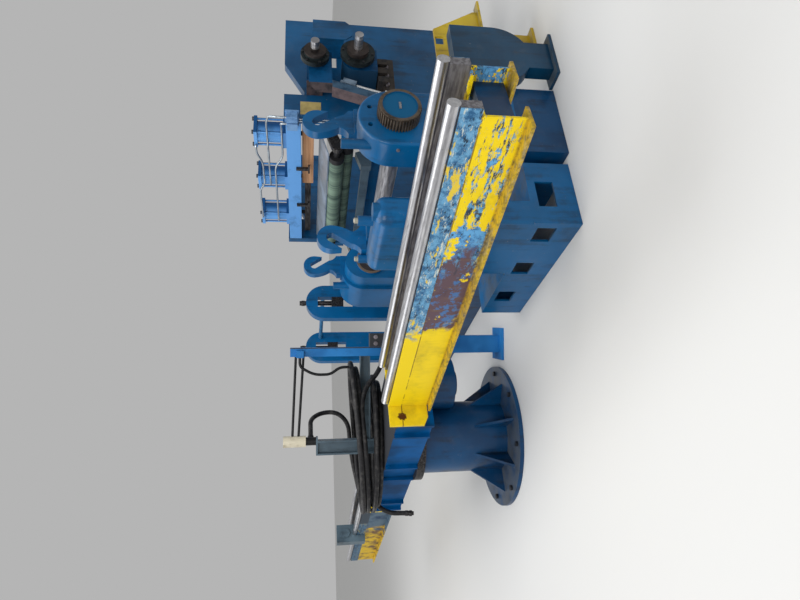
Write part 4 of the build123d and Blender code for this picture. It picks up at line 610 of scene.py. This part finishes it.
def valve_paint():
    """The valve blocks: light blue up at the junction, dark and oily down at the manifold."""
    look = Finish("valve_paint")
    light = look.mottled(srgb(112, 152, 196), srgb(60, 100, 146), PALE_BLOTCHES, 8, 5)
    dark = look.mottled(srgb(60, 54, 50), srgb(30, 32, 36), (0.42, 0.66), 18)
    return look.done(look.mix(look.ramp(look.axis("Z"), *MANIFOLD_TOP), light, dark), 0.45)


def ram_finish():
    """The small cylinder: a pale clevis above and a chromed rod below it."""
    look = Finish("ram_finish")
    pale = look.mottled(srgb(128, 146, 164), srgb(70, 88, 106), BLOTCHES, 14, 5)
    rod = look.ramp(look.axis("Z"), *RAM_ROD_TOP)
    return look.done(look.mix(rod, pale, srgb(236, 238, 240)), 0.25, look.times(rod, 0.6))


def disc_housing():
    """The left housing: machine blue, with a brown oily bearing disc."""
    look = Finish("disc_housing")
    radius = look.from_arbor()
    disc = look.times(look.ramp(radius, *HOUSING_DISC_RIM), look.ramp(look.axis("X"), *HOUSING_DISC_FACE))
    blue = look.mottled(BLUE, WORN_BLUE, (0.3, 0.75), 1.7, 3, 0.6)
    blue = look.stained(blue, GRIME, 0.35, STAINS, 5)
    brown = look.mix(look.ramp(radius, *HOUSING_SEAL_RIM), srgb(104, 90, 78), srgb(46, 42, 42))
    look.gloss()
    return look.done(look.mix(disc, blue, brown), 0.42, bump=look.noise(60, 3))


def slant_paint():
    """The slanted arm: brown flanks and a bluish grey front."""
    look = Finish("slant_paint")
    brown = look.mottled(srgb(90, 76, 78), srgb(58, 50, 54), BLOTCHES, 12)
    front = look.mottled(srgb(64, 92, 116), srgb(36, 58, 80), BLOTCHES, 12)
    return look.done(look.mix(look.ramp(look.facing("X"), *FACES_X), brown, front), 0.5)


def make_finishes():
    """Every finish by its name."""
    return {
        "blue": paint("machine_blue", BLUE, WORN_BLUE, grime=0.45, chips=0.4),
        "dark_blue": paint("shaded_blue", srgb(0, 70, 116), DEEP_BLUE, grime=0.6, chips=0.3),
        "stand_blue": paint("stand_blue", srgb(14, 90, 140), srgb(4, 60, 98), chips=0.5),
        "cylinder_blue": cylinder_blue(),
        "grey_blue": paint("grey_blue", srgb(92, 112, 124), srgb(60, 76, 88)),
        "light_blue": paint("light_blue", LIGHT_BLUE, srgb(34, 92, 136), grime=0.35),
        "slant": slant_paint(),
        "ram": ram_finish(),
        "disc_housing": disc_housing(),
        "valve_paint": valve_paint(),
        "deep_teal": paint("deep_teal", srgb(0, 66, 100), srgb(0, 46, 72), grime=0.4, chips=0.3),
        "chocks": chock_paint(),
        "spindle": spindle_steel(),
        "union": union_body(),
        "rear_channels": rear_channels(),
        "bracket_yellow": paint("bracket_yellow", srgb(214, 186, 40), srgb(180, 150, 36), chips=0.7,
                                under=srgb(80, 70, 60)),
        "arm_yellow": arm_yellow(),
        "seat_bars": seat_bars(),
        "hub_blue": hub_blue(),
        "mast": mast_paint(),
        "rail": metal("polished_rail", srgb(206, 206, 208), srgb(184, 184, 188), roughness=0.3,
                      stain=0.2, metallic=1.0, angle=ARM_ANGLE, along=0.02, brushed=False),
        "ground": metal("ground_steel", srgb(176, 176, 180), srgb(126, 126, 130), roughness=0.38,
                        stain=0.3),
        "dark": metal("dark_steel", srgb(82, 80, 80), srgb(44, 42, 42), roughness=0.45, stain=0.5,
                      metallic=0.7),
        "table": paint("table_steel", srgb(150, 164, 182), srgb(112, 124, 140), grime=0.3, roughness=0.34),
        "tube": metal("tube_steel", srgb(190, 200, 206), srgb(150, 158, 166), roughness=0.32, stain=0.2),
        "gear": gear_steel(),
        "roll": roll_cover(),
        "wood": pad_wood(),
        "rubber": hose_rubber(),
        "black": flat("black_collar", srgb(26, 26, 28)),
        "plate": flat("bare_plate", srgb(192, 172, 112), roughness=0.55),
        "bolt": flat("bolt_steel", srgb(64, 66, 70), roughness=0.4, metallic=0.7),
        "cap": flat("cap_grey", srgb(176, 172, 156), roughness=0.4, metallic=0.2),
        "valve": flat("valve_grey", srgb(128, 122, 128), roughness=0.45, metallic=0.3),
    }


# The solids that wear each finish
FINISH_NODES = {
    "dark_blue": ("turnstile_foot", "turnstile_column", "slew_drive", "arm_ties", "rear_bed"),
    "dark": ("slewing_ring", "hose_end_fitting", "beam_hangers", "pad_bar", "upper_roll_arms",
             "jack_screws"),
    "hub_blue": ("turnstile_hub",),
    "arm_yellow": ("arm_flanges", "front_arm_channels"),
    "rear_channels": ("rear_arm_channels",),
    "seat_bars": ("arm_seat_bars",),
    "rail": ("arm_rails",),
    "grey_blue": ("rail_stop_block", "union_post", "hose_boom", "guide_bar"),
    "union": ("rotary_union",),
    "mast": ("hose_mast",),
    "black": ("mast_pipes",),
    "blue": ("front_bed", "gearbox_column", "front_gearbox", "hook_pedestal", "right_housing",
             "lifting_hooks", "lower_roll_blocks", "screw_yokes"),
    "disc_housing": ("left_housing",),
    "ground": ("arbor",),
    "gear": ("ring_gear",),
    "stand_blue": ("left_side_frame", "right_side_frame", "front_cross_beam", "side_guard"),
    "cylinder_blue": ("top_beam", "pressure_cylinders"),
    "wood": ("pad_board",),
    "table": ("table_plate",),
    "roll": ("upper_roll", "lower_roll"),
    "chocks": ("spindle_chocks",),
    "spindle": ("upper_spindle", "lower_spindle"),
    "slant": ("slant_guide",),
    "ram": ("slant_cylinder",),
    "valve_paint": ("valve_blocks",),
    "tube": ("cylinder_tubing",),
    "deep_teal": ("drive_guard",),
    "bracket_yellow": ("yellow_bracket",),
    "light_blue": ("yoke_tie_bar",),
    "rubber": ("hose_coil", "hose_tail", "upper_hose_loop", "valve_hose", "union_hose"),
}


def dress_nodes(finishes):
    """Each solid gets its finish."""
    for finish, names in FINISH_NODES.items():
        for name in names:
            mesh = nodes[name].data
            mesh.materials.clear()
            mesh.materials.append(finishes[finish])


def placed(name, data, body=ROOT):
    """A new piece that rides on a body."""
    piece = bpy.data.objects.new(name, data)
    bpy.context.scene.collection.objects.link(piece)
    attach(piece, body)
    return piece


def add_mesh(name, vertices, faces, material, body=ROOT):
    """A piece from its corners."""
    mesh = bpy.data.meshes.new(name)
    mesh.from_pydata(vertices, [], faces)
    mesh.materials.append(material)
    return placed(name, mesh, body)


def round_circle(radius, count, first):
    """Points spread evenly round a circle, from a first angle in degrees."""
    angles = [math.radians(first + 360 * k / count) for k in range(count)]
    return [(radius * math.cos(angle), radius * math.sin(angle)) for angle in angles]


def rim(centre, axis, radius, sides):
    """The corners of a polygon round a centre, square to an axis."""
    first = axis.orthogonal().normalized()
    second = axis.cross(first)
    angles = [2 * math.pi * k / sides for k in range(sides)]
    return [centre + (first * math.cos(angle) + second * math.sin(angle)) * radius for angle in angles]


def wall(near, far, sides):
    """The faces between two rims, from the numbers of their first corners."""
    return [(near + k, near + (k + 1) % sides, far + (k + 1) % sides, far + k) for k in range(sides)]


def bolts(name, places, axis, head, material, body=ROOT):
    """Hexagon heads that stand out from a face along an axis, all in one piece."""
    axis = Vector(axis).normalized()
    radius, height = head
    vertices, faces = [], []
    for place in places:
        foot = len(vertices)
        top = foot + HEXAGON
        for level in (0.0, height):
            vertices += rim(Vector(place) + axis * level, axis, radius, HEXAGON)
        faces.append(tuple(range(top, top + HEXAGON)))
        faces += wall(foot, top, HEXAGON)
    return add_mesh(name, vertices, faces, material, body)


def slab(name, corners, material, body=ROOT):
    """A box between two opposite corners."""
    (x0, y0, z0), (x1, y1, z1) = corners
    vertices = [(x, y, z) for x in (x0, x1) for y in (y0, y1) for z in (z0, z1)]
    faces = [(0, 1, 3, 2), (4, 6, 7, 5), (0, 4, 5, 1), (2, 3, 7, 6), (0, 2, 6, 4), (1, 5, 7, 3)]
    return add_mesh(name, vertices, faces, material, body)


def lathed(name, start, along, profile, material, sides):
    """A round piece along a line: its profile is pairs of distance and radius."""
    along = Vector(along).normalized()
    vertices, faces = [], []
    for distance, radius in profile:
        vertices += rim(Vector(start) + along * distance, along, radius, sides)
    for ring in range(len(profile) - 1):
        faces += wall(ring * sides, (ring + 1) * sides, sides)
    faces.append(tuple(reversed(range(sides))))
    faces.append(tuple(range(len(vertices) - sides, len(vertices))))
    return add_mesh(name, vertices, faces, material)


def turned_point(angle, reach, side, height):
    """A point given along a line through the column's axis, beside it and above the floor."""
    return (reach * math.cos(angle) - side * math.sin(angle),
            reach * math.sin(angle) + side * math.cos(angle), height)


def laid(coil, points):
    """Points given along a coil, across it and above its underside, put in their place."""
    (x, y), lean = coil["centre"], coil["lean"]
    places = []
    for along, side, height in points:
        reach = along * math.cos(lean) - height * math.sin(lean)
        rise = along * math.sin(lean) + height * math.cos(lean)
        places.append((x + reach * math.cos(COIL_ANGLE) - side * math.sin(COIL_ANGLE),
                       y + reach * math.sin(COIL_ANGLE) + side * math.cos(COIL_ANGLE),
                       coil["bottom"] + rise))
    return places


def coil_turns(coil):
    """The control points of a coil's turns, one every TURN_STEP degrees."""
    columns = coil["columns"]
    points = []
    for degrees in range(coil["first"], coil["last"] + 1, TURN_STEP):
        long, short, height = columns[0]
        for (start, end), before, after in zip(coil["shifts"], columns, columns[1:]):
            share = min(max((degrees - start) / (end - start), 0.0), 1.0)
            share = share * share * (3 - 2 * share)
            long += share * (after[0] - before[0])
            short += share * (after[1] - before[1])
            height += share * (after[2] - before[2])
        angle = math.radians(degrees)
        points.append((long * math.cos(angle), short * math.sin(angle), height))
    return laid(coil, points)


def hose(name, points, closed_nodes, material):
    """A free hose: a smooth line through its control points that stands for its plain solids."""
    curve = bpy.data.curves.new(name, "CURVE")
    curve.dimensions = "3D"
    curve.bevel_depth = HOSE_DIAMETER / 2
    curve.bevel_resolution = HOSE_BEVEL_STEPS
    curve.use_fill_caps = True
    spline = curve.splines.new("NURBS")
    spline.points.add(len(points) - 1)
    for target, point in zip(spline.points, points):
        target.co = (*point, 1)
    spline.order_u = HOSE_SPLINE_ORDER
    spline.use_endpoint_u = True
    spline.resolution_u = HOSE_SPLINE_STEPS
    curve.materials.append(material)
    piece = placed(name, curve)
    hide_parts(*closed_nodes)


def make_hoses(finishes):
    """The hose from the rotary union round the upper loop to the valve, and the one coiled on the hub."""
    lead = [turned_point(OUTLET_ANGLE, reach, 0, height) for reach, height in OUTLET_RUN]
    lead += laid(UPPER_COIL, UPPER_LEAD)
    end = laid(UPPER_COIL, UPPER_END) + [turned_point(BOOM_ANGLE, *point) for point in VALVE_RUN]
    hose("upper_hose", lead + coil_turns(UPPER_COIL) + end, ("union_hose", "upper_hose_loop", "valve_hose"),
         finishes["rubber"])
    tail = laid(LOWER_COIL, LOWER_TAIL)
    heading = Vector(tail[-1]) - Vector(tail[-2])
    fitting = lathed("hose_end", Vector(tail[-1]) - HOSE_END_OVERLAP * heading.normalized(), heading,
                     HOSE_END_PROFILE, finishes["dark"], HOSE_END_SIDES)
    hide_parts("hose_end_fitting")
    hose("lower_hose", coil_turns(LOWER_COIL) + tail, ("hose_coil", "hose_tail"),
         finishes["rubber"])


def make_bolts(finishes):
    """The bolt heads and nuts."""
    foot = [(x, y, FOOT_TOP) for x, y in round_circle(FOOT_CIRCLE, FOOT_BOLT_COUNT, FOOT_FIRST_ANGLE)]
    nuts = [(x + dx, CYLINDERS_Y + dy, CYLINDERS_TOP)
            for x in CYLINDERS_X for dx in CYLINDER_NUT_OFFSETS for dy in CYLINDER_NUT_OFFSETS]
    pieces = [
        bolts("foot_bolts", foot, UP, FOOT_HEAD, finishes["bolt"]),
        bolts("housing_bolt", [HOUSING_BOLT], NEAR_WAY, HOUSING_HEAD, finishes["valve"]),
        bolts("cylinder_nuts", nuts, UP, CYLINDER_NUT, finishes["bolt"]),
    ]
    for label, (x, y, z), radius in SPINDLE_CIRCLES:
        circle = [(x, y + across, z + rise) for across, rise in
                  round_circle(radius, SPINDLE_BOLT_COUNT, SPINDLE_FIRST_ANGLE)]
        pieces.append(bolts(label + "_spindle_bolts", circle, X_WAY, SPINDLE_HEAD, finishes["bolt"],
                            label + "_spindle_body"))


def make_small_parts(finishes):
    """The bolts, the gear's key, the bare tag, and the caps, tubes, plugs and fittings."""
    make_bolts(finishes)
    slab("arbor_key", ARBOR_KEY, finishes["ground"], "arbor_assembly")
    slab("bare_tag", BARE_TAG, finishes["plate"])
    fittings = [turned_point(BOOM_ANGLE, *place) for place in VALVE_FITTINGS]
    boom_side = turned_point(BOOM_ANGLE, 0, -1, 0)
    rounds = (
        ("gearbox_cap", GEARBOX_CAPS, UP, CAP_PROFILE, SMALL_SIDES, "cap", "cream_paint"),
        ("drop_tube", DROP_TUBES, DOWN, TUBE_PROFILE, TUBE_SIDES, "tube", "tube_steel"),
        ("manifold_plug", MANIFOLD_PLUGS, X_WAY, PLUG_PROFILE, SMALL_SIDES, "valve", "ground_steel"),
        ("valve_fitting", fittings, boom_side, FITTING_PROFILE, SMALL_SIDES, "valve", "ground_steel"),
    )
    for name, places, along, profile, sides, finish, slot in rounds:
        for number, place in enumerate(places, 1):
            piece = lathed("%s_%d" % (name, number), place, along, profile, finishes[finish], sides)


def make_camera():
    """The camera that took the photograph."""
    data = bpy.data.cameras.new("photo_camera")
    data.lens = CAMERA_LENS
    data.sensor_width = CAMERA_SENSOR
    data.clip_end = CAMERA_REACH
    camera = bpy.data.objects.new("photo_camera", data)
    bpy.context.scene.collection.objects.link(camera)
    pitch = math.atan(CAMERA_DROP)
    up = Vector(UP)
    ahead = Vector(CAMERA_HEADING).normalized()
    right = ahead.cross(up)
    forward = math.cos(pitch) * ahead - math.sin(pitch) * up
    image_up = math.cos(pitch) * up + math.sin(pitch) * ahead
    # The photograph stands on its side, so the camera's X axis points down and its Y axis to the right
    place = Matrix((-image_up, right, -forward)).transposed().to_4x4()
    place.translation = Vector(CAMERA_PLACE)
    camera.matrix_world = place
    bpy.context.scene.camera = camera


def area_light(name, at, aim, size, power):
    """A white rectangular lamp that points at a place."""
    data = bpy.data.lights.new(name, "AREA")
    data.shape = "RECTANGLE"
    data.size, data.size_y = size
    data.energy = power
    lamp = bpy.data.objects.new(name, data)
    bpy.context.scene.collection.objects.link(lamp)
    lamp.location = at
    lamp.rotation_euler = (Vector(aim) - Vector(at)).to_track_quat("-Z", "Y").to_euler()


def make_floor():
    """The pale floor, just below the part so that their faces don't lie in one plane."""
    half = FLOOR_HALF_WIDTH
    mesh = bpy.data.meshes.new("studio_floor")
    mesh.from_pydata([(-half, -half, 0), (half, -half, 0), (half, half, 0), (-half, half, 0)], [],
                     [(0, 1, 2, 3)])
    floor = bpy.data.objects.new("studio_floor", mesh)
    bpy.context.scene.collection.objects.link(floor)
    floor.location.z = -FLOOR_DROP
    material = bpy.data.materials.new("floor")
    material.use_nodes = True
    shader = material.node_tree.nodes["Principled BSDF"]
    shader.inputs["Base Color"].default_value = FLOOR_COLOUR
    shader.inputs["Roughness"].default_value = FLOOR_ROUGHNESS
    mesh.materials.append(material)


def make_studio():
    """The grey surroundings, the lamps and the floor."""
    world = bpy.data.worlds.new("studio")
    world.use_nodes = True
    background = world.node_tree.nodes["Background"]
    background.inputs["Color"].default_value = WORLD_GREY
    background.inputs["Strength"].default_value = WORLD_STRENGTH
    bpy.context.scene.world = world
    for lamp in LAMPS:
        area_light(*lamp)
    make_floor()
    bpy.context.scene.view_settings.view_transform = "Standard"


make_camera()
make_studio()
finishes = make_finishes()
dress_nodes(finishes)
make_hoses(finishes)
make_small_parts(finishes)
